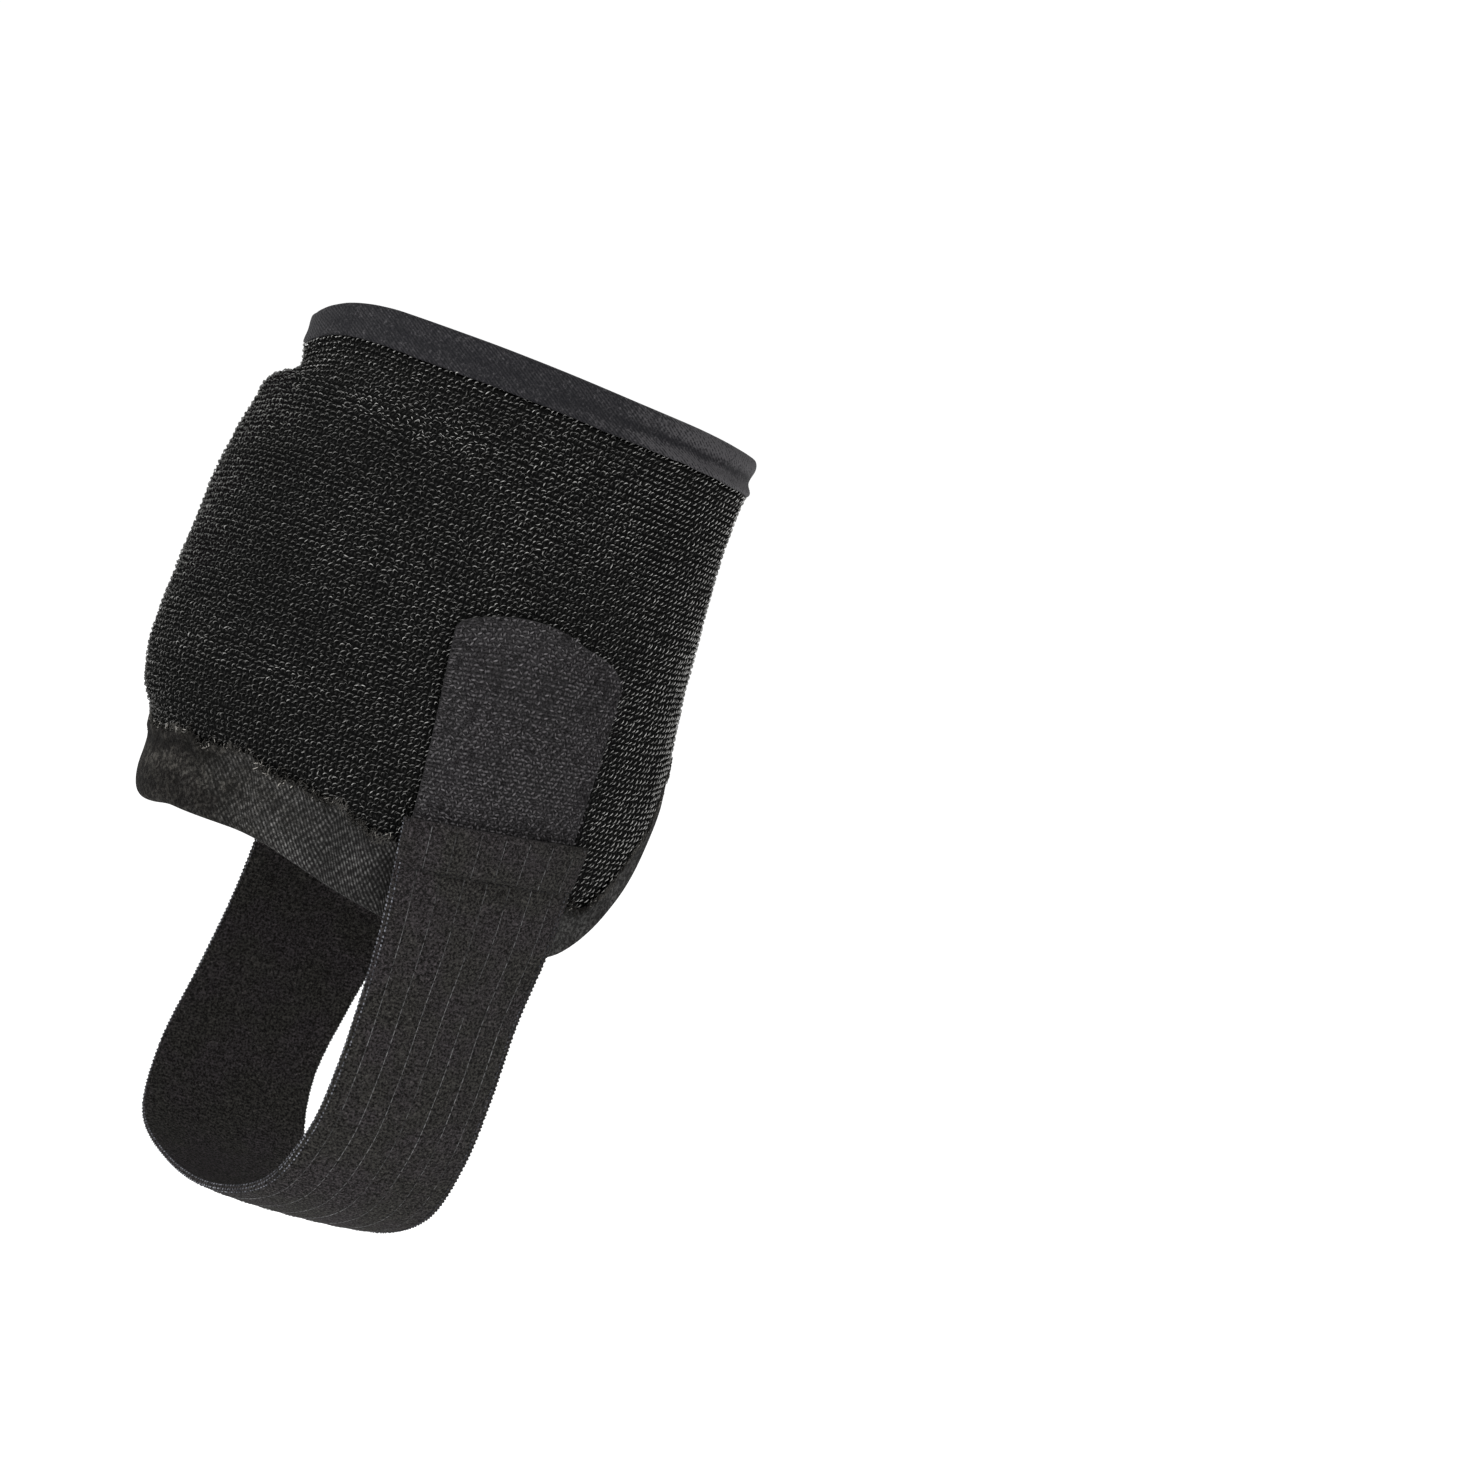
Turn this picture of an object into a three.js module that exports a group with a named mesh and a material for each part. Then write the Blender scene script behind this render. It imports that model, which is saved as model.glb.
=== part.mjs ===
// Achilles tendon brace, in the form that it has when worn on the right. A padded knitted sleeve is bound
// with tape round its top and bottom edges. An elastic strap hangs from the sleeve like a stirrup: it leaves
// the outer side, loops round below and is sewn flat to the inner side. Its outer end carries a hook tab,
// which grips the looped face of the sleeve.
//
// Millimetres. +Z runs up the sleeve's axis, +X to the front and +Y to the inner side, so -Y is the outer
// side. The origin is the middle of the sleeve's hollow.
import * as THREE from "three";

// Clearance between pieces that lie on each other.
const GAP = 0.35;

// The outside of the sleeve from top to bottom: how far it reaches behind and in front of its axis, half
// its breadth, and how much the tendon pad in the back thickens the wall.
const SECTIONS = [
  { height: 54, back: 50.0, front: 46.6, half: 35.5, pad: 0.0 },
  { height: 42, back: 49.4, front: 46.3, half: 35.6, pad: 0.0 },
  { height: 36, back: 48.6, front: 46.3, half: 36.0, pad: 0.2 },
  { height: 30, back: 52.8, front: 46.4, half: 37.2, pad: 4.6 },
  { height: 19, back: 55.8, front: 46.6, half: 38.4, pad: 7.2 },
  { height: -6, back: 58.3, front: 48.4, half: 39.4, pad: 8.6 },
  { height: -20, back: 58.8, front: 50.4, half: 39.8, pad: 7.4 },
  { height: -30, back: 57.2, front: 51.6, half: 39.6, pad: 4.4 },
  { height: -38, back: 53.0, front: 52.4, half: 39.0, pad: 0.4 },
  { height: -47, back: 52.4, front: 52.8, half: 38.4, pad: 0.0 },
  { height: -62, back: 50.0, front: 53.0, half: 37.4, pad: 0.0 },
];

// The heights of the sleeve's two edges and the depth of the bottom tape, by degrees from the front. The
// bottom edge is cut up in an arch at the front.
const EDGES = [
  { turn: 0, top: 48.5, bottom: -20, tape: 7.5 },
  { turn: 20, top: 49.0, bottom: -25.5, tape: 7.5 },
  { turn: 38, top: 49.8, bottom: -44, tape: 8.5 },
  { turn: 56, top: 50.8, bottom: -57, tape: 10.5 },
  { turn: 76, top: 51.6, bottom: -61, tape: 13 },
  { turn: 105, top: 52.6, bottom: -57, tape: 14 },
  { turn: 140, top: 53.4, bottom: -50.5, tape: 14 },
  { turn: 160, top: 51.2, bottom: -50, tape: 14 },
  { turn: 180, top: 47.6, bottom: -51.5, tape: 14 },
];

const WALL = 3.4; // knitted wall without the pad
const STEP = 1.4; // height of the step where the wall thins to go under a tape

// The tapes folded over the two edges.
const TOP_TAPE = { depth: 7.6, thick: 1.1, proud: 0.5 };
const BOTTOM_TAPE = { thick: 1.1, proud: 0.2 };

// The hook tab on the outer side, and how far its top corners are cut round across and down the tab. Its
// rows lie close together below its top edge, where the corners are.
const TAB = { top: 3.0, bottom: -47, back: 17.0, front: 19.6, thick: 1.2, lift: 0.6 };
const TAB_ROUND = { back: 2, backDrop: 2, front: 16, frontDrop: 8 };
const TAB_TAPER = 3.2; // how much narrower its front edge makes it at the bottom
const TAB_ROWS_BELOW_TOP = [0.1, 0.5, 1.2, 2.2, 3.6, 5.4, 8, 16, 24, 32, 40, TAB.top - TAB.bottom];

// The strap's middle line on each side of the sleeve: its place at one height, and its lean to the back
// as it climbs.
const OUTER_LINE = { side: -1, x: 9.6, height: -57, lean: 0.105 };
const INNER_LINE = { side: 1, x: 4.4, height: -57, lean: -0.05 };

const STRAP = { thick: 2.0, half: 18.7, overTab: TAB.lift + TAB.thick + GAP, onSleeve: 0.8 };

// The strap's stations where it lies on the sleeve, from its end downwards: their heights, half the strap's
// width and how far its middle is behind its line. The elastic is drawn narrower below its outer end.
const OUTER_END = [
  { height: -35.5, half: STRAP.half, behind: 0 },
  { height: -46, half: 17.7, behind: 0.6 },
  { height: -57, half: 17.0, behind: 1.0 },
];
const INNER_END = [-25, -36, -47, -57].map((height) => ({ height, half: STRAP.half, behind: 0 }));

// The strap's free run below the sleeve, from the outer side to the inner side: the middle of its inner
// face, half its width, how far its two edges curl in, and the degrees that its outer face turns to the
// front.
const FREE_RUN = [
  { x: 8.8, y: -39.0, z: -71, half: 17.0, curl: 2.2, turn: 7 },
  { x: 9.2, y: -37.6, z: -87, half: 16.8, curl: 1.8, turn: 6 },
  { x: 9.2, y: -34.2, z: -101, half: 16.8, curl: 1.4, turn: 4 },
  { x: 7.4, y: -27.0, z: -114, half: 17.4, curl: 1.0, turn: 2 },
  { x: 3.0, y: -12.0, z: -121.3, half: 18.0, curl: 0.8, turn: 0 },
  { x: -1.8, y: 8.0, z: -122, half: 18.2, curl: 0.8, turn: 0 },
  { x: -5.0, y: 25.0, z: -117, half: 18.0, curl: 1.0, turn: 0 },
  { x: -4.6, y: 33.6, z: -104, half: 17.0, curl: 1.4, turn: 0 },
  { x: -1.4, y: 37.0, z: -88, half: 16.8, curl: 1.8, turn: 1 },
  { x: 2.0, y: 38.4, z: -71, half: 17.6, curl: 2.2, turn: 2 },
];

// How finely the faceted pieces are divided.
const COLUMNS = 56; // round the sleeve
const SLEEVE_ROWS = 15; // up the sleeve between its tapes
const ACROSS = 6; // across the strap and the tab
const STEPS_PER_STATION = 3; // along the strap

const MATERIALS = {
  knit: new THREE.MeshStandardMaterial({ name: "loop_knit", color: 0x1b1b1b, roughness: 0.85 }),
  topTape: new THREE.MeshStandardMaterial({ name: "stretch_tape", color: 0x2c2c30, roughness: 0.7 }),
  bottomTape: new THREE.MeshStandardMaterial({ name: "brushed_tape", color: 0x2b2a29, roughness: 0.95 }),
  strap: new THREE.MeshStandardMaterial({ name: "plush_elastic", color: 0x252423, roughness: 0.95 }),
  tab: new THREE.MeshStandardMaterial({ name: "hook_fabric", color: 0x323134, roughness: 0.9 }),
};

// A column of a table at any value of its key column, on a smooth curve through the rows. The curve rises
// and falls only where the rows do, and is level at the table's two ends.
function readColumn(table, key, name, at) {
  const rows = table[0][key] < table[table.length - 1][key] ? table : [...table].reverse();
  const last = rows.length - 1;
  const clamped = THREE.MathUtils.clamp(at, rows[0][key], rows[last][key]);
  let i = 0;
  while (i < last - 1 && clamped > rows[i + 1][key]) i++;
  const rise = (k) => (rows[k + 1][name] - rows[k][name]) / (rows[k + 1][key] - rows[k][key]);
  const slope = (k) => {
    if (k === 0 || k === last || rise(k - 1) * rise(k) <= 0) return 0;
    return (2 * rise(k - 1) * rise(k)) / (rise(k - 1) + rise(k));
  };
  const span = rows[i + 1][key] - rows[i][key];
  const t = (clamped - rows[i][key]) / span;
  const [p0, p1, m0, m1] = [rows[i][name], rows[i + 1][name], slope(i) * span, slope(i + 1) * span];
  return p0 + t * (m0 + t * (3 * (p1 - p0) - 2 * m0 - m1 + t * (m0 + m1 - 2 * (p1 - p0))));
}

const sectionAt = (name, height) => readColumn(SECTIONS, "height", name, height);

// The share of the pad at an angle from the front: 1 at the back, 0 from the sides forward.
function backShare(angle) {
  return THREE.MathUtils.smoothstep(-Math.cos(angle), -0.15, 0.85);
}

function edgeAt(name, angle) {
  const turn = Math.abs(THREE.MathUtils.radToDeg(Math.atan2(Math.sin(angle), Math.cos(angle))));
  return readColumn(EDGES, "turn", name, turn);
}

function wallAt(angle, height) {
  return WALL + sectionAt("pad", height) * backShare(angle);
}

// A point of the sleeve at an angle from the front and a height, moved in from its outside by inset.
function sleevePoint(angle, height, inset) {
  const depth = sectionAt(Math.cos(angle) > 0 ? "front" : "back", height);
  const half = sectionAt("half", height);
  const normal = new THREE.Vector2(Math.cos(angle) / depth, Math.sin(angle) / half).normalize();
  const x = depth * Math.cos(angle) - inset * normal.x;
  const y = half * Math.sin(angle) - inset * normal.y;
  return new THREE.Vector3(x, y, height);
}

// A point lifted off the sleeve's outer or inner side, at a given distance in front of its axis.
function sidePoint(side, x, height, lift) {
  const depth = sectionAt(x > 0 ? "front" : "back", height);
  return sleevePoint(side * Math.acos(THREE.MathUtils.clamp(x / depth, -1, 1)), height, -lift);
}

function geometryOf(points, triangles) {
  const geometry = new THREE.BufferGeometry().setFromPoints(points);
  geometry.setIndex(triangles);
  geometry.computeVertexNormals();
  return geometry;
}

// A solid ring from its closed outline at each angle, which runs up the outside of the ring and down its
// inside.
function ringGeometry(outlineAt) {
  const points = [];
  for (let column = 0; column < COLUMNS; column++) {
    points.push(...outlineAt((2 * Math.PI * column) / COLUMNS));
  }
  const rows = points.length / COLUMNS;
  const triangles = [];
  for (let column = 0; column < COLUMNS; column++) {
    const here = column * rows;
    const next = ((column + 1) % COLUMNS) * rows;
    for (let row = 0; row < rows; row++) {
      const above = (row + 1) % rows;
      triangles.push(here + row, next + row, next + above);
      triangles.push(here + row, next + above, here + above);
    }
  }
  return geometryOf(points, triangles);
}

// A solid band from the rows of points across its inner face and its outer face.
function bandGeometry(innerRows, outerRows) {
  const across = innerRows[0].length;
  const loop = 2 * across;
  const points = innerRows.flatMap((inner, k) => [...inner, ...outerRows[k].toReversed()]);
  const triangles = [];
  for (let k = 0; k + 1 < innerRows.length; k++) {
    for (let j = 0; j < loop; j++) {
      const [a, b] = [k * loop + j, k * loop + ((j + 1) % loop)];
      triangles.push(a, b + loop, a + loop, a, b, b + loop);
    }
  }
  const end = (innerRows.length - 1) * loop;
  for (let j = 0; j + 1 < across; j++) {
    const [a, b, c, d] = [j, j + 1, loop - 2 - j, loop - 1 - j];
    triangles.push(a, c, b, a, d, c);
    triangles.push(end + a, end + b, end + c, end + a, end + c, end + d);
  }
  return geometryOf(points, triangles);
}

// The knitted sleeve. Under each tape its wall is thinner by the tape and its clearance on both faces.
function sleeveGeometry() {
  return ringGeometry((angle) => {
    const [low, high, lowDepth] = ["bottom", "top", "tape"].map((name) => edgeAt(name, angle));
    const topInset = TOP_TAPE.thick + GAP - TOP_TAPE.proud;
    const bottomInset = BOTTOM_TAPE.thick + GAP - BOTTOM_TAPE.proud;
    const bodyLow = low + lowDepth + STEP;
    const bodyHigh = high - TOP_TAPE.depth - STEP;
    const levels = [
      { height: low + BOTTOM_TAPE.thick + GAP, inset: bottomInset },
      { height: low + lowDepth / 2, inset: bottomInset },
      { height: low + lowDepth, inset: bottomInset },
    ];
    for (let row = 0; row <= SLEEVE_ROWS; row++) {
      levels.push({ height: THREE.MathUtils.lerp(bodyLow, bodyHigh, row / SLEEVE_ROWS), inset: 0 });
    }
    levels.push({ height: high - TOP_TAPE.depth, inset: topInset });
    levels.push({ height: high - TOP_TAPE.depth / 2, inset: topInset });
    levels.push({ height: high - TOP_TAPE.thick - GAP, inset: topInset });
    const outside = levels.map(({ height, inset }) => sleevePoint(angle, height, inset));
    const inside = levels.map(({ height, inset }) =>
      sleevePoint(angle, height, wallAt(angle, height) - inset),
    );
    return [...outside, ...inside.reverse()];
  });
}

// A tape folded over one edge of the sleeve. Up is 1 for the top edge and -1 for the bottom edge.
function tapeGeometry(edge, { thick, proud }, depthAt, up) {
  return ringGeometry((angle) => {
    const height = edgeAt(edge, angle);
    const depth = depthAt(angle);
    const at = (inset, down) => sleevePoint(angle, height - up * down, inset);
    const wall = wallAt(angle, height - up * depth);
    const [outer, inner] = [-proud, wall + proud];
    const [outerFold, innerFold] = [outer + thick, inner - thick];
    const corner = thick * 0.8;
    const outline = [
      at(outerFold, depth),
      at(outer, depth),
      at(outer, depth / 2),
      at(outer, corner),
      at(outer + corner, 0),
      at(inner - corner, 0),
      at(inner, corner),
      at(inner, depth / 2),
      at(inner, depth),
      at(innerFold, depth),
      at(innerFold, depth / 2),
      at(innerFold, thick),
      at(outerFold, thick),
      at(outerFold, depth / 2),
    ];
    return up > 0 ? outline : outline.reverse();
  });
}

const topTapeDepth = () => TOP_TAPE.depth;
const bottomTapeDepth = (angle) => edgeAt("tape", angle);

// A row of points across a piece that lies on the sleeve, square to its leaning line.
function rowOnSleeve(line, height, back, front, lift) {
  const middle = line.x - (height - line.height) * line.lean;
  return Array.from({ length: ACROSS + 1 }, (_, j) => {
    const across = THREE.MathUtils.lerp(-back, front, j / ACROSS);
    return sidePoint(line.side, middle + across, height + across * line.lean, lift);
  });
}

// How much a round corner narrows the tab at a distance below its top edge.
function cornerCut(width, drop, below) {
  const share = Math.max(1 - below / drop, 0);
  return width * (1 - Math.sqrt(1 - share ** 2));
}

function tabGeometry() {
  const rows = (lift) =>
    TAB_ROWS_BELOW_TOP.map((below) => {
      const back = TAB.back - cornerCut(TAB_ROUND.back, TAB_ROUND.backDrop, below);
      const taper = TAB_TAPER * THREE.MathUtils.smoothstep(below, 0, TAB.top - TAB.bottom);
      const front = TAB.front - taper - cornerCut(TAB_ROUND.front, TAB_ROUND.frontDrop, below);
      return rowOnSleeve(OUTER_LINE, TAB.top - below, back, front, lift);
    });
  return bandGeometry(rows(TAB.lift), rows(TAB.lift + TAB.thick));
}

// A row across the strap's free run, with its two edges curled in.
function rowOfRun({ x, y, z, half, curl, turn }, direction, lift) {
  const outward = new THREE.Vector3(0, direction.z, -direction.y).normalize();
  const angle = THREE.MathUtils.degToRad(turn);
  return Array.from({ length: ACROSS + 1 }, (_, j) => {
    const share = THREE.MathUtils.lerp(-1, 1, j / ACROSS);
    const rise = lift - curl * share ** 2 - half * share * Math.sin(angle);
    return new THREE.Vector3(x + half * share * Math.cos(angle), y, z).addScaledVector(outward, rise);
  });
}

// The strap's rows of stations, from its outer end down, round below and up to its inner end. The run goes
// from -Y to +Y, so its direction turned a quarter turn points out of the loop.
function strapStations(lift) {
  const rowOf = (line, lay) => ({ height, half, behind }) =>
    rowOnSleeve(line, height, half + behind, half - behind, lay + lift);
  const outer = OUTER_END.map(rowOf(OUTER_LINE, STRAP.overTab));
  const inner = INNER_END.map(rowOf(INNER_LINE, STRAP.onSleeve));
  const free = FREE_RUN.map((row, k) => {
    const before = FREE_RUN[Math.max(k - 1, 0)];
    const after = FREE_RUN[Math.min(k + 1, FREE_RUN.length - 1)];
    const direction = new THREE.Vector3(0, after.y - before.y, after.z - before.z);
    return rowOfRun(row, direction, lift);
  });
  return [...outer, ...free, ...inner.reverse()];
}

// Rows between the stations, on smooth curves through the points that the stations share.
function smoothRows(stations) {
  const curves = stations[0].map((_, j) => new THREE.CatmullRomCurve3(stations.map((row) => row[j])));
  const steps = (stations.length - 1) * STEPS_PER_STATION;
  return Array.from({ length: steps + 1 }, (_, k) => curves.map((curve) => curve.getPoint(k / steps)));
}

function strapGeometry() {
  return bandGeometry(smoothRows(strapStations(0)), smoothRows(strapStations(STRAP.thick)));
}

function piece(name, geometry, material) {
  const mesh = new THREE.Mesh(geometry, material);
  mesh.name = name;
  return mesh;
}

const brace = new THREE.Group();
brace.name = "achilles_tendon_brace";
brace.add(
  piece("sleeve", sleeveGeometry(), MATERIALS.knit),
  piece("top_tape", tapeGeometry("top", TOP_TAPE, topTapeDepth, 1), MATERIALS.topTape),
  piece("bottom_tape", tapeGeometry("bottom", BOTTOM_TAPE, bottomTapeDepth, -1), MATERIALS.bottomTape),
  piece("arch_strap", strapGeometry(), MATERIALS.strap),
  piece("hook_tab", tabGeometry(), MATERIALS.tab),
);

export default brace;
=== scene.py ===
"""Achilles tendon brace: a looped knit sleeve bound with tape, and an elastic strap held by a hook tab.

Tables and shape functions are in millimetres, as in the CAD. Meshes are in metres. +Z runs up the sleeve,
+X to the front and -Y to the outer side.
"""

import math

import bpy
import numpy as np
from mathutils import Matrix, Vector


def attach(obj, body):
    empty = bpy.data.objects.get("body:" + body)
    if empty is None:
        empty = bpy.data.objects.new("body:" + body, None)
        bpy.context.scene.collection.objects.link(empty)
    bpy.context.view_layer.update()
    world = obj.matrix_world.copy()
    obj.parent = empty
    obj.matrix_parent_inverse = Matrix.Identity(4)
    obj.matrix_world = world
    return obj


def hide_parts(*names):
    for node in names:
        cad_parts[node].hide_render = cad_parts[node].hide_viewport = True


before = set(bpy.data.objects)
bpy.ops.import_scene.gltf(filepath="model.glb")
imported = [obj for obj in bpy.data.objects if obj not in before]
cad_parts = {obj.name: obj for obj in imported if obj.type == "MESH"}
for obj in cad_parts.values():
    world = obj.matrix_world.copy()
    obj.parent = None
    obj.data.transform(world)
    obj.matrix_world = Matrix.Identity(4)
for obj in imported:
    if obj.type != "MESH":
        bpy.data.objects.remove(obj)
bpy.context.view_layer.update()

MM = 0.001

# --- The shape, as in the CAD ---

# height, reach behind the axis, reach in front of it, half breadth, thickness of the tendon pad
SECTIONS = np.array([
    (-62, 50.0, 53.0, 37.4, 0.0), (-47, 52.4, 52.8, 38.4, 0.0), (-38, 53.0, 52.4, 39.0, 0.4),
    (-30, 57.2, 51.6, 39.6, 4.4), (-20, 58.8, 50.4, 39.8, 7.4), (-6, 58.3, 48.4, 39.4, 8.6),
    (19, 55.8, 46.6, 38.4, 7.2), (30, 53.0, 46.4, 37.2, 4.8), (34.6, 50.6, 46.35, 36.3, 2.2),
    (36.8, 48.0, 46.3, 35.9, 0.2), (42, 47.7, 46.3, 35.6, 0.0), (54, 48.0, 46.6, 35.5, 0.0),
])
BACK, FRONT, HALF, PAD = 1, 2, 3, 4

# degrees from the front, bottom edge, depth of the bottom tape
EDGES = np.array([
    (0, -20, 7.5), (20, -25.5, 7.5), (38, -44, 8.5), (56, -57, 10.5), (76, -61, 13), (105, -57, 14),
    (140, -50.5, 14), (160, -50, 14), (180, -51.5, 14),
])
BOTTOM, TAPE, TOP = 1, 2, 3

# degrees round from the front over the inner side, top edge: it sags at the back and on the inner side
TOP_EDGE = np.array([
    (0, 48.5), (20, 49.0), (38, 49.8), (56, 50.8), (76, 51.6), (100, 51.8), (120, 51.4), (136, 50.4),
    (148, 49.2), (160, 48.3), (172, 48.3), (180, 49.3), (186, 50.3), (190, 51.0), (196, 52.0), (202, 52.7),
    (208, 53.2), (216, 53.5), (240, 53.3), (255, 52.9), (284, 51.6), (304, 50.8), (322, 49.8), (340, 49.0),
    (360, 48.5),
])

WALL = 3.4
TAPE_THICK = 1.1
TAPE_SEAT = TAPE_THICK + 0.35  # the wall ends this far inside the fold of a tape
TOP_DEPTH = 7.6
TOP_PROUD, BOTTOM_PROUD = 0.5, 0.2  # how far each tape stands out from the sleeve

TAB_TOP, TAB_BOTTOM, TAB_BACK, TAB_FRONT, TAB_THICK, TAB_LIFT = 3.0, -47.0, 17.0, 19.6, 1.2, 0.6
TAB_TAPER = 3.2
FRONT_CORNER, BACK_CORNER = (16, 8), (2, 2)  # width and drop of the rounded upper corners

# side, place of the middle line, height of that place, lean to the back
OUTER_LINE = (-1, 9.6, -57.0, 0.105)
INNER_LINE = (1, 4.4, -57.0, -0.05)
STRAP_HALF, STRAP_THICK, OVER_TAB, ON_SLEEVE = 18.7, 2.0, 2.15, 0.8
# height, half width, how far the middle is behind the line, where the strap lies on the sleeve
OUTER_END = ((-35.5, 18.7, 0.0), (-46.0, 17.7, 0.6), (-57.0, 17.0, 1.0))
INNER_END = ((-25.0, 18.7, 0.0), (-36.0, 18.7, 0.0), (-47.0, 18.7, 0.0), (-57.0, 18.7, 0.0))

# middle of the inner face, half width, curl of the edges, turn to the front in degrees
FREE_RUN = np.array([
    (8.8, -39.0, -71.0, 17.0, 2.2, 7), (9.2, -37.6, -87.0, 16.8, 1.8, 6), (9.2, -34.2, -101.0, 16.8, 1.4, 4),
    (7.4, -27.0, -114.0, 17.4, 1.0, 2), (3.0, -12.0, -121.3, 18.0, 0.8, 0), (-1.8, 8.0, -122.0, 18.2, 0.8, 0),
    (-5.0, 25.0, -117.0, 18.0, 1.0, 0), (-4.6, 33.6, -104.0, 17.0, 1.4, 0), (-1.4, 37.0, -88.0, 16.8, 1.8, 1),
    (2.0, 38.4, -71.0, 17.6, 2.2, 2),
])


def curve_between(start, end, leave, arrive, t):
    """The place t of the way along a curve that leaves start and arrives at end with the given slopes."""
    gap = end - start
    return start + t * (leave + t * (3 * gap - 2 * leave - arrive + t * (leave + arrive - 2 * gap)))


def read_column(table, column, at):
    """A column of a table at any value of its first column, on a smooth curve that never overshoots."""
    keys, values = table[:, 0], table[:, column]
    gaps = np.diff(keys)
    rises = np.diff(values) / gaps
    both = rises[:-1] * rises[1:]
    slopes = np.zeros_like(values)
    slopes[1:-1] = np.where(both > 0, 2 * both / np.where(both > 0, rises[:-1] + rises[1:], 1), 0)
    at = np.clip(at, keys[0], keys[-1])
    i = np.clip(np.searchsorted(keys, at, side="right") - 1, 0, len(gaps) - 1)
    t = (at - keys[i]) / gaps[i]
    return curve_between(values[i], values[i + 1], slopes[i] * gaps[i], slopes[i + 1] * gaps[i], t)


def smooth_step(at, low, high):
    t = np.clip((at - low) / (high - low), 0, 1)
    return t * t * (3 - 2 * t)


def window(at, start, full, fading, end):
    """0 outside, with a rise to 1 from start to full and a fall from fading to end."""
    return smooth_step(at, start, full) * (1 - smooth_step(at, fading, end))


def bell(at, middle, width):
    return np.exp(-(((at - middle) / width) ** 2))


def part_way(stops, k, t):
    """The value t of the way from a stop to the next."""
    return stops[k] + (stops[k + 1] - stops[k]) * t


def between(cell, i, j, s, t):
    """Blends the four cells round a place, s of the way past i and t of the way past j."""
    first = cell(i, j) * (1 - s) + cell(i + 1, j) * s
    second = cell(i, j + 1) * (1 - s) + cell(i + 1, j + 1) * s
    return first * (1 - t) + second * t


def run_length(path):
    """How far along a path each of its points is."""
    return np.concatenate([[0], np.cumsum(np.linalg.norm(np.diff(path, axis=0), axis=1))])


def from_front(angle):
    """Degrees from the front, on either side."""
    return np.degrees(np.abs(np.arctan2(np.sin(angle), np.cos(angle))))


def degrees_round(angle):
    """Degrees round from the front over the inner side, from 0 to 360."""
    return np.degrees(angle) % 360


def edge_at(column, angle):
    if column == TOP:
        return read_column(TOP_EDGE, 1, degrees_round(angle))
    edge = read_column(EDGES, column, from_front(angle))
    if column == BOTTOM:
        # It hangs a little lower at the back, towards the outer side.
        edge = edge - 1.5 * window(degrees_round(angle), 150, 172, 200, 235)
    return edge


def wall_at(angle, height):
    return WALL + read_column(SECTIONS, PAD, height) * smooth_step(-np.cos(angle), -0.15, 0.85)


def reach_at(forward, height):
    """The sleeve's reach: in front of its axis where forward is over 0, and behind it elsewhere."""
    return np.where(forward > 0, read_column(SECTIONS, FRONT, height), read_column(SECTIONS, BACK, height))


def sleeve_point(angle, height, inset):
    """Points of the sleeve at an angle from the front and a height, moved in from its outside."""
    angle, height, inset = np.broadcast_arrays(angle, height, inset)
    cos, sin = np.cos(angle), np.sin(angle)
    depth, half = reach_at(cos, height), read_column(SECTIONS, HALF, height)
    nx, ny = cos / depth, sin / half
    size = np.hypot(nx, ny)
    return np.stack([depth * cos - inset * nx / size, half * sin - inset * ny / size, height], axis=-1)


def side_point(side, x, height, lift):
    """Points on a side of the sleeve, x in front of its axis, lifted off it."""
    turn = np.arccos(np.clip(x / reach_at(x, height), -1, 1))
    return sleeve_point(side * turn, height, -lift)


def line_point(line, height, across, lift):
    """Points of a piece that lies on the sleeve, square to its leaning middle line."""
    side, x, level, lean = line
    middle = x - (height - level) * lean
    return side_point(side, middle + across, height + across * lean, lift)


def strap_stations(share, lift):
    """The strap's stations, from its outer end round below to its inner end, for points across it."""
    share, lift = np.broadcast_arrays(np.asarray(share, float), np.asarray(lift, float))

    def on_sleeve(line, ends, lay):
        return [line_point(line, z, share * half - behind, lay + lift) for z, half, behind in ends]

    rows = on_sleeve(OUTER_LINE, OUTER_END, OVER_TAB)
    for k, (x, y, z, half, curl, turn) in enumerate(FREE_RUN):
        before, after = FREE_RUN[max(k - 1, 0)], FREE_RUN[min(k + 1, len(FREE_RUN) - 1)]
        outward = np.array([0, after[2] - before[2], before[1] - after[1]])
        outward /= np.linalg.norm(outward)
        angle = math.radians(turn)
        across = half * share
        rise = lift - curl * share**2 - across * math.sin(angle)
        level = np.stack([x + across * math.cos(angle), np.full_like(share, y), np.full_like(share, z)], -1)
        rows.append(level + rise[..., None] * outward)
    rows += on_sleeve(INNER_LINE, INNER_END[::-1], ON_SLEEVE)
    return np.array(rows)


def run_through(stations, steps):
    """Points on smooth curves through stations, with steps to each span."""
    before, after = 2 * stations[0] - stations[1], 2 * stations[-1] - stations[-2]
    p = np.concatenate([[before], stations, [after]])
    gap = np.sqrt(np.linalg.norm(np.diff(p, axis=0), axis=-1, keepdims=True))
    p0, p1, p2, p3 = p[:-3], p[1:-2], p[2:-1], p[3:]
    d0, d1, d2 = gap[:-2], gap[1:-1], gap[2:]
    m1 = ((p1 - p0) / d0 - (p2 - p0) / (d0 + d1) + (p2 - p1) / d1) * d1
    m2 = ((p2 - p1) / d1 - (p3 - p1) / (d1 + d2) + (p3 - p2) / d2) * d1
    t = (np.arange(steps) / steps).reshape((1, steps) + (1,) * (stations.ndim - 1))
    p1, p2, m1, m2 = (q[:, None] for q in (p1, p2, m1, m2))
    curve = curve_between(p1, p2, m1, m2, t)
    return np.concatenate([curve.reshape((-1,) + stations.shape[1:]), stations[-1:]])


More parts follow.
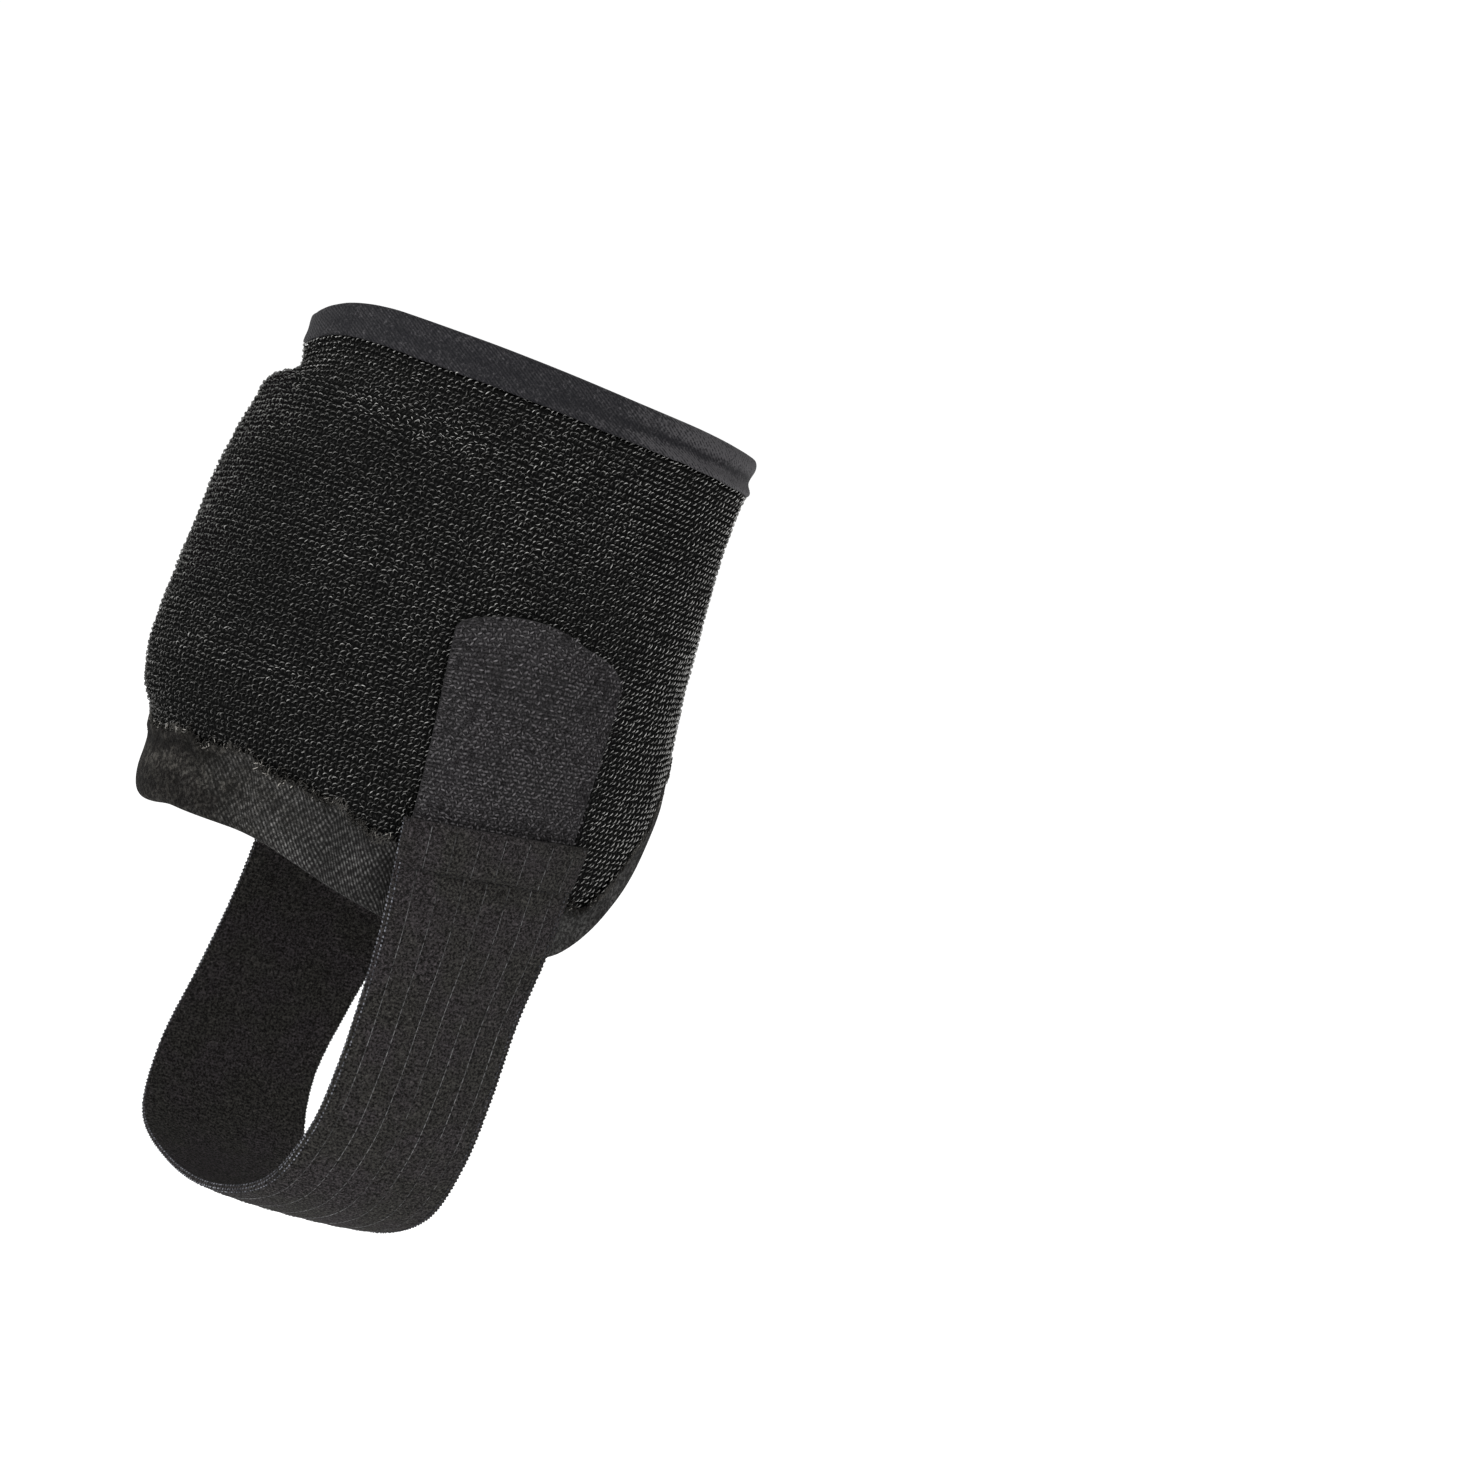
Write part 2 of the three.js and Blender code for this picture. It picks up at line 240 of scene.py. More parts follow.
def lumps(a, b, seed, cells=64):
    """Soft random swells from -1 to 1, one to each unit of a and b."""
    grid = np.random.default_rng(seed).uniform(-1, 1, (cells, cells))
    i, j = np.floor(a).astype(int), np.floor(b).astype(int)
    s, t = smooth_step(a - i, 0, 1), smooth_step(b - j, 0, 1)
    return between(lambda m, n: grid[m % cells, n % cells], i, j, s, t)


def puff(angle, height):
    """How far the knit swells from the CAD's even wall."""
    turns = angle / math.tau * 24
    soft = 0.30 * lumps(turns, height / 13 + 20, 3, 24) + 0.14 * lumps(turns * 3, height / 5 + 40, 5, 72)
    # The pad's upper edge shows as a soft ledge a little below the top tape.
    below = top_of_body(angle) - height
    behind = smooth_step(-np.cos(angle), -0.25, 0.5)
    ledge = 1.0 * bell(below, 9.0, 3.6) - 0.7 * bell(below, 4.2, 2.0)
    lip = 0.35 * bell(below, 0, 1.6)
    return soft + ledge * behind + lip + swell_at(angle, height)


# --- Tools for the meshes ---


def unit(v):
    return v / np.maximum(np.linalg.norm(v, axis=-1, keepdims=True), 1e-9)


def points_of(piece):
    points = np.empty(len(piece.data.vertices) * 3)
    piece.data.vertices.foreach_get("co", points)
    return points.reshape(-1, 3)


def lay_sheet(name, columns, rows, place, weave, marks=None):
    """A grid whose points are moved by place, with a map of the cloth in millimetres and marks on its points.

    Edges that meet are joined.
    """
    bpy.ops.object.select_all(action="DESELECT")
    bpy.ops.mesh.primitive_grid_add(x_subdivisions=columns, y_subdivisions=rows, size=2)
    piece = bpy.context.object
    piece.name = piece.data.name = name
    at = (points_of(piece)[:, :2] + 1) / 2
    piece.data.vertices.foreach_set("co", (place(at[:, 0], at[:, 1]) * MM).ravel())
    for label, mark in (marks or {}).items():
        piece.data.attributes.new(label, "FLOAT", "POINT").data.foreach_set("value", mark(at[:, 0], at[:, 1]))
    corner = np.empty(len(piece.data.loops), np.int32)
    piece.data.loops.foreach_get("vertex_index", corner)
    cloth = piece.data.uv_layers[0]
    cloth.name = "cloth"
    cloth.uv.foreach_set("vector", np.stack(weave(at[:, 0], at[:, 1]), -1)[corner].ravel())
    bpy.ops.object.mode_set(mode="EDIT")
    bpy.ops.mesh.select_all(action="SELECT")
    bpy.ops.mesh.remove_doubles(threshold=2e-6)
    bpy.ops.mesh.select_all(action="SELECT")
    bpy.ops.mesh.normals_make_consistent(inside=False)
    bpy.ops.object.mode_set(mode="OBJECT")
    bpy.ops.object.shade_smooth()
    return piece


def close_ends(piece):
    bpy.ops.object.select_all(action="DESELECT")
    piece.select_set(True)
    bpy.context.view_layer.objects.active = piece
    bpy.ops.object.mode_set(mode="EDIT")
    bpy.ops.mesh.select_all(action="DESELECT")
    bpy.ops.mesh.select_mode(type="EDGE")
    bpy.ops.mesh.select_non_manifold()
    bpy.ops.mesh.fill_holes(sides=0)
    bpy.ops.mesh.select_all(action="SELECT")
    bpy.ops.mesh.normals_make_consistent(inside=False)
    bpy.ops.object.mode_set(mode="OBJECT")


class Grain:
    """A plump grain of yarn along its own Z, modelled once and copied by sow."""

    def __init__(self, sides, rings):
        bpy.ops.object.select_all(action="DESELECT")
        bpy.ops.mesh.primitive_uv_sphere_add(segments=sides, ring_count=rings, radius=1)
        piece = bpy.context.object
        self.points = points_of(piece)
        self.corners = np.empty(len(piece.data.loops), np.int32)
        piece.data.loops.foreach_get("vertex_index", self.corners)
        self.sizes = np.empty(len(piece.data.polygons), np.int32)
        piece.data.polygons.foreach_get("loop_total", self.sizes)
        bpy.data.objects.remove(piece)


class Spots:
    """Where grains go: a middle and the directions along, beside and out of the cloth for each."""

    def __init__(self, middle, along, out):
        self.middle, self.out = middle, unit(out)
        self.side = unit(np.cross(along, self.out))
        self.along = np.cross(self.out, self.side)

    def turned(self, angle):
        cos, sin = np.cos(angle)[:, None], np.sin(angle)[:, None]
        return Spots(self.middle, self.along * cos + self.side * sin, self.out)

    def keep(self, mask):
        return Spots(self.middle[mask], self.along[mask], self.out[mask])


def sow(name, grain, spots, long, wide, thick, arch, curl, tone):
    """Joins a copy of the grain at each spot. Arch lifts its middle off the cloth and curl bends it aside."""
    count = len(spots.middle)
    each = lambda value: np.broadcast_to(np.asarray(value, float), (count,))[:, None]
    x, y, z = grain.points.T
    bow = 1 - z**2
    rise = each(thick) * y + each(arch) * bow
    beside = each(wide) * x + each(curl) * bow
    points = spots.middle[:, None] + (each(long) * z)[..., None] * spots.along[:, None]
    points = points + beside[..., None] * spots.side[:, None] + rise[..., None] * spots.out[:, None]

    mesh = bpy.data.meshes.new(name)
    corners = (grain.corners[None] + np.arange(count)[:, None] * len(x)).ravel().astype(np.int32)
    sizes = np.tile(grain.sizes, count)
    mesh.vertices.add(count * len(x))
    mesh.vertices.foreach_set("co", (points * MM).ravel())
    mesh.loops.add(len(corners))
    mesh.loops.foreach_set("vertex_index", corners)
    mesh.polygons.add(len(sizes))
    mesh.polygons.foreach_set("loop_start", np.concatenate([[0], np.cumsum(sizes)[:-1]]).astype(np.int32))
    mesh.polygons.foreach_set("use_smooth", np.ones(len(sizes), bool))
    mesh.update(calc_edges=True)

    # crest runs from a grain's root to its top; the yarn finishes paint shade at the roots and a highlight on
    # the crest by it
    crest = np.clip((rise + each(thick)) / (2 * each(thick) + each(arch)), 0, 1)
    tones = np.broadcast_to(each(tone), crest.shape)
    for label, values in (("crest", crest), ("tone", tones)):
        mesh.attributes.new(label, "FLOAT", "POINT").data.foreach_set("value", values.ravel())
    # On the bake's map a point lies by its tone and crest, so that grains which look alike share a place.
    table = np.stack([0.04 + 0.9 * np.clip(tones, 0, 1) + 0.02 * x, 0.03 + 0.94 * crest], -1).reshape(-1, 2)
    mesh.uv_layers.new(name="OFBake").uv.foreach_set("vector", table[corners].ravel())
    piece = bpy.data.objects.new(name, mesh)
    bpy.context.collection.objects.link(piece)
    return piece


# --- Finishes ---


class Value:
    """A number that changes over a surface. Arithmetic on it adds Math nodes."""

    def __init__(self, finish, socket):
        self.finish, self.socket = finish, socket

    def math(self, operation, *others, flipped=False):
        values = [self, *others][::-1] if flipped else [self, *others]
        return self.finish.node("ShaderNodeMath", {"operation": operation}, dict(enumerate(values)))

    def __add__(self, other):
        return self.math("ADD", other)

    def __mul__(self, other):
        return self.math("MULTIPLY", other)

    def __sub__(self, other):
        return self.math("SUBTRACT", other)

    def __rsub__(self, other):
        return self.math("SUBTRACT", other, flipped=True)

    def __pow__(self, other):
        return self.math("POWER", other)

    __radd__, __rmul__ = __add__, __mul__

    def sine(self):
        return self.math("SINE")

    def rise(self, low, high):
        """0 below low, 1 above high, smooth between."""
        sockets = {"Value": self, "From Min": low, "From Max": high}
        return self.finish.node("ShaderNodeMapRange", {"interpolation_type": "SMOOTHSTEP"}, sockets)


class Finish:
    """A material made of nodes."""

    def __init__(self, name, roughness, specular, sheen=0.0):
        self.material = bpy.data.materials.new(name)
        self.material.use_nodes = True
        self.tree = self.material.node_tree
        self.shader = self.tree.nodes["Principled BSDF"]
        self.shader.inputs["Roughness"].default_value = roughness
        self.shader.inputs["Specular IOR Level"].default_value = specular
        self.shader.inputs["Sheen Weight"].default_value = sheen
        self.shader.inputs["Sheen Roughness"].default_value = 0.4

    def node(self, kind, settings=None, sockets=None, out=0):
        made = self.tree.nodes.new(kind)
        for name, value in (settings or {}).items():
            setattr(made, name, value)
        for name, value in (sockets or {}).items():
            if isinstance(value, Value):
                self.tree.links.new(value.socket, made.inputs[name])
            else:
                made.inputs[name].default_value = value
        return Value(self, made.outputs[out])

    def attribute(self, name):
        return self.node("ShaderNodeAttribute", {"attribute_name": name}, out="Fac")

    def place(self):
        return self.node("ShaderNodeTexCoord", out="Object")

    def forward(self):
        """Metres in front of the sleeve's axis."""
        return self.node("ShaderNodeSeparateXYZ", sockets={"Vector": self.place()}, out="X")

    def cloth(self):
        """Millimetres along and across the cloth."""
        lay = self.node("ShaderNodeUVMap", {"uv_map": "cloth"})
        both = {"Vector": lay}
        return [self.node("ShaderNodeSeparateXYZ", sockets=both, out=axis) for axis in ("X", "Y")]

    def noise(self, size, detail=2.0, roughness=0.5):
        """Random swells about size millimetres apart, from 0 to 1."""
        sockets = {"Vector": self.place(), "Scale": 1 / (size * MM), "Detail": detail, "Roughness": roughness}
        return self.node("ShaderNodeTexNoise", {}, sockets)

    def specks(self, size):
        """Distance from the middle of random cells about size millimetres across."""
        return self.node("ShaderNodeTexVoronoi", {}, {"Vector": self.place(), "Scale": 1 / (size * MM)})

    def ribs(self, slope, pitch, wander=0.0):
        """Ribs pitch millimetres apart that rise across the cloth at slope degrees, from 0 to 1."""
        along, across = self.cloth()
        turn = math.radians(slope)
        phase = (across * math.cos(turn) - along * math.sin(turn)) * (math.tau / pitch) + wander
        return phase.sine() * 0.5 + 0.5

    def mix(self, amount, first, second):
        """A colour between two, each of them plain or itself a mix."""
        first, second = (tint if isinstance(tint, Value) else (*tint, 1) for tint in (first, second))
        return self.node("ShaderNodeMix", {"data_type": "RGBA"}, {0: amount, 6: first, 7: second}, out=2)

    def colour(self, value):
        self.tree.links.new(value.socket, self.shader.inputs["Base Color"])

    def bump(self, height, depth):
        """Height from 0 to 1 stands depth millimetres proud."""
        normal = self.node("ShaderNodeBump", {}, {"Height": height, "Distance": depth * MM, "Strength": 1.0})
        self.tree.links.new(normal.socket, self.shader.inputs["Normal"])


def yarn_finish(name, dark, light, power, glint=0.0):
    """Yarn with painted shade at its roots and a painted highlight on its crests, each grain with its own
    tone.

    With glint, the crests of the palest grains get painted glints.
    """
    yarn = Finish(name, 0.85, 0.04)
    crest, tone = yarn.attribute("crest"), yarn.attribute("tone")
    # painted light: crest darkens each grain's roots as painted shade and lightens its crest as a painted
    # highlight
    lit = (crest**power) * tone
    if glint:
        lit = lit * (1 - glint) + (crest**5.0) * tone.rise(0.4, 1.0) * glint
    yarn.colour(yarn.mix(lit, dark, light))
    return yarn.material


def knit_wall_finish():
    wall = Finish("looped_wall", 1.0, 0.0)
    stitches = wall.ribs(0, 1.1) * wall.ribs(90, 0.8)
    wall.colour(wall.mix(stitches, (0.0034, 0.0034, 0.0034), (0.015, 0.015, 0.0147)))
    wall.bump(stitches, 0.25)
    return wall.material


def twill_finish():
    """Stretch twill: fine slanted ribs, paler towards the front, with a painted highlight on the ridges of
    its rolled edge and painted shade in its groove.
    """
    tape = Finish("stretch_twill", 0.7, 0.12, 0.03)
    twill = tape.ribs(-28, 0.58, tape.noise(3.0, 2.0) * 1.2)
    cross = tape.ribs(70, 1.12)
    worn = tape.noise(3.4, 3.0)
    fine = tape.noise(0.6, 2.0, roughness=0.7)
    towards_front = tape.forward().rise(0.002, 0.034)
    lines = twill * (worn.rise(0.36, 0.62) * 0.6 + 0.4)
    flecks = fine.rise(0.40, 0.66) * 0.3 + fine.rise(0.58, 0.72) * (towards_front * 1.3 + 0.8)
    shade = lines * (cross * 0.5 + 0.5) * 0.55 + flecks
    # painted light: the fold marks paint a highlight on the ridges of the rolled edge and shade in its groove
    shade = shade * (towards_front * 2.7 + 0.64) * (tape.attribute("fold_shading") * 1.1 + 1.0)
    tape.colour(tape.mix(shade, (0.0030, 0.0030, 0.0044), (0.047, 0.045, 0.048)))
    tape.bump(lines * 0.7 + fine * 0.3, 0.12)
    return tape.material


def brushed_finish():
    """Brushed stretch knit: fine slanted wales broken by nap, woolly at the back and felted at the front,
    with painted shade and light along the crease at its back.
    """
    tape = Finish("brushed_knit", 1.0, 0.03, 0.02)
    forward = tape.forward()
    woolly = 1 - (forward + tape.noise(5.0) * 0.02).rise(-0.042, -0.012)
    felted = forward.rise(0.004, 0.016)
    wander = tape.noise(2.2, 2.0) * 2.4
    wales = tape.ribs(49, 0.74, wander)
    rows = tape.ribs(-57, 1.16, wander)
    nap = tape.noise(0.75, 3.0, roughness=0.75)
    clouds = tape.noise(8.0, 2.0)
    stitch = (wales * 0.85 + 0.15) * (rows * 0.6 + 0.4) * (1 - woolly * 0.5)
    stitch = stitch * (1 - felted * 0.8) + felted * 0.34
    grain = nap.rise(0.43, 0.58)
    shade = (stitch * 0.85 + 0.15) * (grain * 0.55 + 0.45) * (clouds.rise(0.3, 0.7) * 0.3 + 0.7)
    shade = shade**1.7 * (1 - forward.rise(-0.037, -0.022) * 0.46)
    plain = tape.mix(shade, (0.0046, 0.0045, 0.0044), (0.320, 0.315, 0.307))
    tuft = tape.noise(1.6, 3.0, roughness=0.65).rise(0.42, 0.62)
    # painted light: the fold marks paint shade along the crease's ridges, darkest just below the fringe, and
    # lighten its groove
    crease = 1 - tape.attribute("fold_shading") * 1.1
    shade = (grain * 0.8 + 0.2) * (tuft * 0.45 + stitch * 0.4 + 0.15) * crease
    wool = tape.mix(shade, (0.0030, 0.0028, 0.0026), (0.050, 0.047, 0.042))
    tape.colour(tape.mix(woolly, plain, wool))
    tape.bump(stitch * 0.6 + grain * 0.4, 0.28)
    return tape.material


def plush_finish():
    strap = Finish("plush_elastic", 1.0, 0.03, 0.03)
    pile = strap.noise(0.46, 3.0, roughness=0.75)
    clouds = strap.noise(9.0, 2.0)
    dots = 1 - strap.specks(0.85).rise(0.05, 0.30)
    picks = strap.ribs(90, 0.8, strap.noise(3.0) * 4)
    grain = pile.rise(0.38, 0.64)
    shade = grain * 0.5 + picks * grain * 0.2 + dots * pile.rise(0.42, 0.6) * 0.7
    tinted = strap.mix(clouds.rise(0.35, 0.65), (0.070, 0.067, 0.061), (0.077, 0.068, 0.072))
    strap.colour(strap.mix(shade, (0.0062, 0.0058, 0.0056), tinted))
    strap.bump(grain * 0.8 + picks * 0.2, 0.32)
    return strap.material


def hook_cloth_finish():
    tab = Finish("hook_cloth", 1.0, 0.03, 0.02)
    weft = tab.ribs(0, 0.82, tab.noise(3.0) * 3)
    grain = tab.noise(0.4, 2.0, roughness=0.65)
    clouds = tab.noise(7.0, 2.0)
    shade = grain.rise(0.3, 0.7) * (weft * 0.5 + 0.5) * (clouds * 0.3 + 0.75)
    tab.colour(tab.mix(shade, (0.0060, 0.0058, 0.0060), (0.044, 0.042, 0.044)))
    tab.bump(grain * 0.5 + weft * 0.5, 0.16)
    return tab.material


def wear(piece, material):
    piece.data.materials.clear()
    piece.data.materials.append(material)
    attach(piece, "root")


# --- The sleeve ---

ROUND_STEPS = 240
TURN = np.linspace(0, math.tau, 6 * ROUND_STEPS + 1)  # round the sleeve from the front, over the inner side
MEAN_ROUND = run_length(sleeve_point(TURN, 0.0, 0.0))  # millimetres round it at each of TURN


def bottom_of_body(angle):
    return edge_at(BOTTOM, angle) + edge_at(TAPE, angle)


def top_of_body(angle):
    return edge_at(TOP, angle) - top_depth(angle)


SWELL_LIMIT = 0.7
PRESSURE, FRAMES = 4, 20
BLOWN_UP = 10  # the cloth is simulated at ten times its size, where its steps are steadier
SWELL_ROWS, SWELL_COLUMNS = 48, 96  # from the bottom tape up to the top one, and round the sleeve
SWELL = np.zeros((SWELL_ROWS + 1, SWELL_COLUMNS))  # millimetres


def body_place(u, v):
    """Angle and height of a place round the knit and up it, each from 0 to 1."""
    angle = u * math.tau
    low, high = bottom_of_body(angle), top_of_body(angle)
    return angle, low + (high - low) * v


def simulate_swell():
    """Blows up a coarse copy of the knit, held by the tapes, the tab and the strap, and keeps its swell."""
    rows, columns = SWELL_ROWS, SWELL_COLUMNS
    place = lambda u, v: sleeve_point(*body_place(u, v), 0)
    number = lambda u, v: np.rint(v * rows) * columns + np.rint(u * columns) % columns
    form = lay_sheet("pad_form", columns, rows, place, lambda u, v: (u, v), {"number": number})
    order = np.empty(len(form.data.vertices), np.float32)
    form.data.attributes["number"].data.foreach_get("value", order)
    order = np.rint(order).astype(int)
    row = order // columns
    angle, height = body_place(order % columns / columns, row / rows)
    held = (row == 0) | (row == rows) | under_strap(angle, height)
    form.vertex_groups.new(name="held").add(np.flatnonzero(held).tolist(), 1.0, "REPLACE")
    start = points_of(form)
    form.data.vertices.foreach_set("co", (start * BLOWN_UP).ravel())

    bpy.ops.object.modifier_add(type="CLOTH")
    cloth = form.modifiers[0].settings
    cloth.vertex_group_mass = "held"
    cloth.use_pressure = True
    cloth.uniform_pressure_force = PRESSURE
    cloth.effector_weights.gravity = 0
    for step in range(1, FRAMES + 1):
        bpy.context.scene.frame_set(step)
    bpy.ops.object.modifier_apply(modifier=form.modifiers[0].name)
    bpy.context.scene.frame_set(1)
    moved = (points_of(form) / BLOWN_UP - start) / MM
    bpy.data.objects.remove(form)
    out = unit(sleeve_point(angle, height, -1) - sleeve_point(angle, height, 0))
    SWELL.flat[order] = np.clip((moved * out).sum(-1), 0, SWELL_LIMIT)


def swell_at(angle, height):
    low, high = bottom_of_body(angle), top_of_body(angle)
    up = np.clip((height - low) / (high - low), 0, 0.9999) * SWELL_ROWS
    across = angle / math.tau * SWELL_COLUMNS
    i, j = np.floor(up).astype(int), np.floor(across).astype(int)
    return between(lambda m, n: SWELL[m, n % SWELL_COLUMNS], i, j, up - i, across - j)


# Shares of the way round the wall's section where its height or its inset changes.
UP_OUTSIDE = (0, 0.05, 0.08, 0.56, 0.59, 0.62)
TOP_MIDDLE = 0.64
DOWN_INSIDE = (0.66, 0.69, 0.72, 0.92, 0.95, 0.98)
SUNK = 0.18  # the wall lies this far below the roots of the loops
OUTSIDE_CLOTH, INSIDE_CLOTH = 165, 260  # millimetres of cloth, if a face took up the whole section


def make_sleeve():
    inset_top, inset_bottom = TAPE_SEAT - TOP_PROUD, TAPE_SEAT - BOTTOM_PROUD

    def place(u, v):
        angle = u * math.tau
        low, high = edge_at(BOTTOM, angle) + TAPE_SEAT, edge_at(TOP, angle) - TAPE_SEAT
        low_body, high_body = bottom_of_body(angle), top_of_body(angle)
        stops = [low, low_body, low_body + 1.4, high_body - 0.6, high_body, high]
        insets = [inset_bottom, inset_bottom, SUNK, SUNK, inset_top, inset_top]
        height, inset = np.zeros_like(u), np.zeros_like(u)
        outside = v <= UP_OUTSIDE[-1]
        for k in range(len(stops) - 1):
            t = (v - UP_OUTSIDE[k]) / (UP_OUTSIDE[k + 1] - UP_OUTSIDE[k])
            on = (t >= 0) & (t <= 1)
            height = np.where(on, part_way(stops, k, t), height)
            inset = np.where(on, part_way(insets, k, smooth_step(t, 0, 1)), inset)
        swell = puff(angle, height)
        for k in range(len(stops) - 1):
            t = (v - DOWN_INSIDE[k]) / (DOWN_INSIDE[k + 1] - DOWN_INSIDE[k])
            on = (t >= 0) & (t <= 1) & ~outside
            level = part_way(stops[::-1], k, t)
            sunk = part_way(insets[::-1], k, smooth_step(t, 0, 1))
            height = np.where(on, level, height)
            inset = np.where(on, wall_at(angle, level) - np.where(sunk == SUNK, 0, sunk), inset)

        # Over the top edge and under the bottom one the section goes straight across.
        over = (v > UP_OUTSIDE[-1]) & (v < DOWN_INSIDE[0])
        under = v > DOWN_INSIDE[-1]
        height = np.where(over, high, np.where(under, low, height))
        t = (v - UP_OUTSIDE[-1]) / (DOWN_INSIDE[0] - UP_OUTSIDE[-1])
        inset = np.where(over, inset_top + (wall_at(angle, high) - 2 * inset_top) * t, inset)
        t = (v - DOWN_INSIDE[-1]) / (1 - DOWN_INSIDE[-1])
        far = wall_at(angle, low) - inset_bottom
        inset = np.where(under, far + (inset_bottom - far) * t, inset)
        body = outside * smooth_step(inset, inset_bottom, SUNK)
        return sleeve_point(angle, height, inset - swell * body)

    def weave(u, v):
        up = np.where(v < TOP_MIDDLE, v * OUTSIDE_CLOTH, (v - TOP_MIDDLE) * INSIDE_CLOTH)
        return np.interp(u * math.tau, TURN, MEAN_ROUND), up

    wall = lay_sheet("sleeve_wall", ROUND_STEPS, 100, place, weave)
    wear(wall, knit_wall_finish())
    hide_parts("sleeve")


def sleeve_spots(angle, height, lift):
    """Spots on the swollen outside of the sleeve, lying up it."""
    at = lambda a, h: sleeve_point(a, h, -puff(a, h) - lift)
    middle = at(angle, height)
    forward = at(angle + 0.004, height) - at(angle - 0.004, height)
    up = at(angle, height + 0.2) - at(angle, height - 0.2)
    return Spots(middle, up, np.cross(forward, up))


TUCKED = 1.0  # loops reach this far under the edges of the tab and the strap


def under_strap(angle, height):
    """True where the tab or the strap lies on the sleeve."""
    point = sleeve_point(angle, height, 0.0)
    covered = np.zeros(len(angle), bool)
    for line, top, back, front in (
        (OUTER_LINE, TAB_TOP, TAB_BACK, TAB_FRONT),
        (INNER_LINE, INNER_END[0][0], STRAP_HALF, STRAP_HALF),
    ):
        side, x, level, lean = line
        across = point[:, 0] - (x - (height - level) * lean)
        below = top - (height - across * lean)
        width, drop = FRONT_CORNER
        corner = tab_corner(drop, width, front - across) if line is OUTER_LINE else 0
        inside = (across > -back + TUCKED) & (across < front - TUCKED) & (below > TUCKED + corner)
        covered |= (point[:, 1] * side > 0) & inside
    return covered


# degrees from the front, millimetres from loop to loop along a row: it is stretched wider towards the front
LOOP_PITCH = np.array([
    (0, 1.7), (25, 1.7), (45, 1.6), (60, 1.15), (75, 1.1), (110, 1.22), (150, 1.26), (180, 1.28),
])
EVEN_PITCH = 1.22
ROWS = 76
ROW_DRIFT = 0.04  # of a loop, from each row to the next
LOWEST_ROW = -49
EDGE_PULL = 0.1  # how much of the bottom edge's rise and fall the lowest row takes


def loop_pitch(angle):
    return np.interp(from_front(angle), *LOOP_PITCH.T)


def loop_places(shift):
    """Angles, heights and rows of loops between the two tapes, one above another."""
    angles, heights, rows = [], [], []
    high = top_of_body(TURN)
    low = LOWEST_ROW + EDGE_PULL * (bottom_of_body(TURN) - LOWEST_ROW)
    for row in range(ROWS):
        height = high + (low - high) * (row + shift) / ROWS
        ring = sleeve_point(TURN, height, 0.0)
        step = np.linalg.norm(np.diff(ring, axis=0), axis=1) / loop_pitch((TURN[1:] + TURN[:-1]) / 2)
        place = np.concatenate([[0], np.cumsum(step)])
        count = int(place[-1])
        at = (np.arange(count) + ROW_DRIFT * row + shift) / count * place[-1]
        angle = np.interp(at % place[-1], place, TURN)
        angles.append(angle)
        heights.append(np.interp(angle, TURN, height))
        rows.append(np.full(count, row))
    angle, height, row = np.concatenate(angles), np.concatenate(heights), np.concatenate(rows)
    keep = (height > bottom_of_body(angle) - 0.6) & ~under_strap(angle, height)
    return angle[keep], height[keep], row[keep]


def sow_round(name, grain, finish, angle, spots, sizes):
    """Sows grains all round the sleeve, in four pieces."""
    order = degrees_round(angle)
    cuts = np.quantile(order, [0, 0.25, 0.5, 0.75, 1])
    for k, part in enumerate(("inner_front", "inner_back", "outer_back", "outer_front")):
        mine = (order >= cuts[k]) & ((order < cuts[k + 1]) | (k == 3))
        own = {key: value[mine] for key, value in sizes.items()}
        wear(sow(f"{name}_{part}", grain, spots.keep(mine), **own), finish)


def ledge_highlight_at(angle, height):
    """Where a painted highlight lies on the pad's ledge: there the loops are toned a little down and the
    curls between them painted much paler.
    """
    below = top_of_body(angle) - height
    return window(degrees_round(angle), 205, 222, 246, 262) * bell(below, 11, 4)


def wild_at(angle):
    """0 towards the front, where the loops lie in order, and 1 round the side and the back."""
    return smooth_step(from_front(angle), 50, 88)


def patch_at(angle, height):
    """Paler and darker patches of the knit."""
    return 1 + 0.22 * lumps(np.degrees(angle) / 12 + 60, height / 9 + 20, 67, 30)


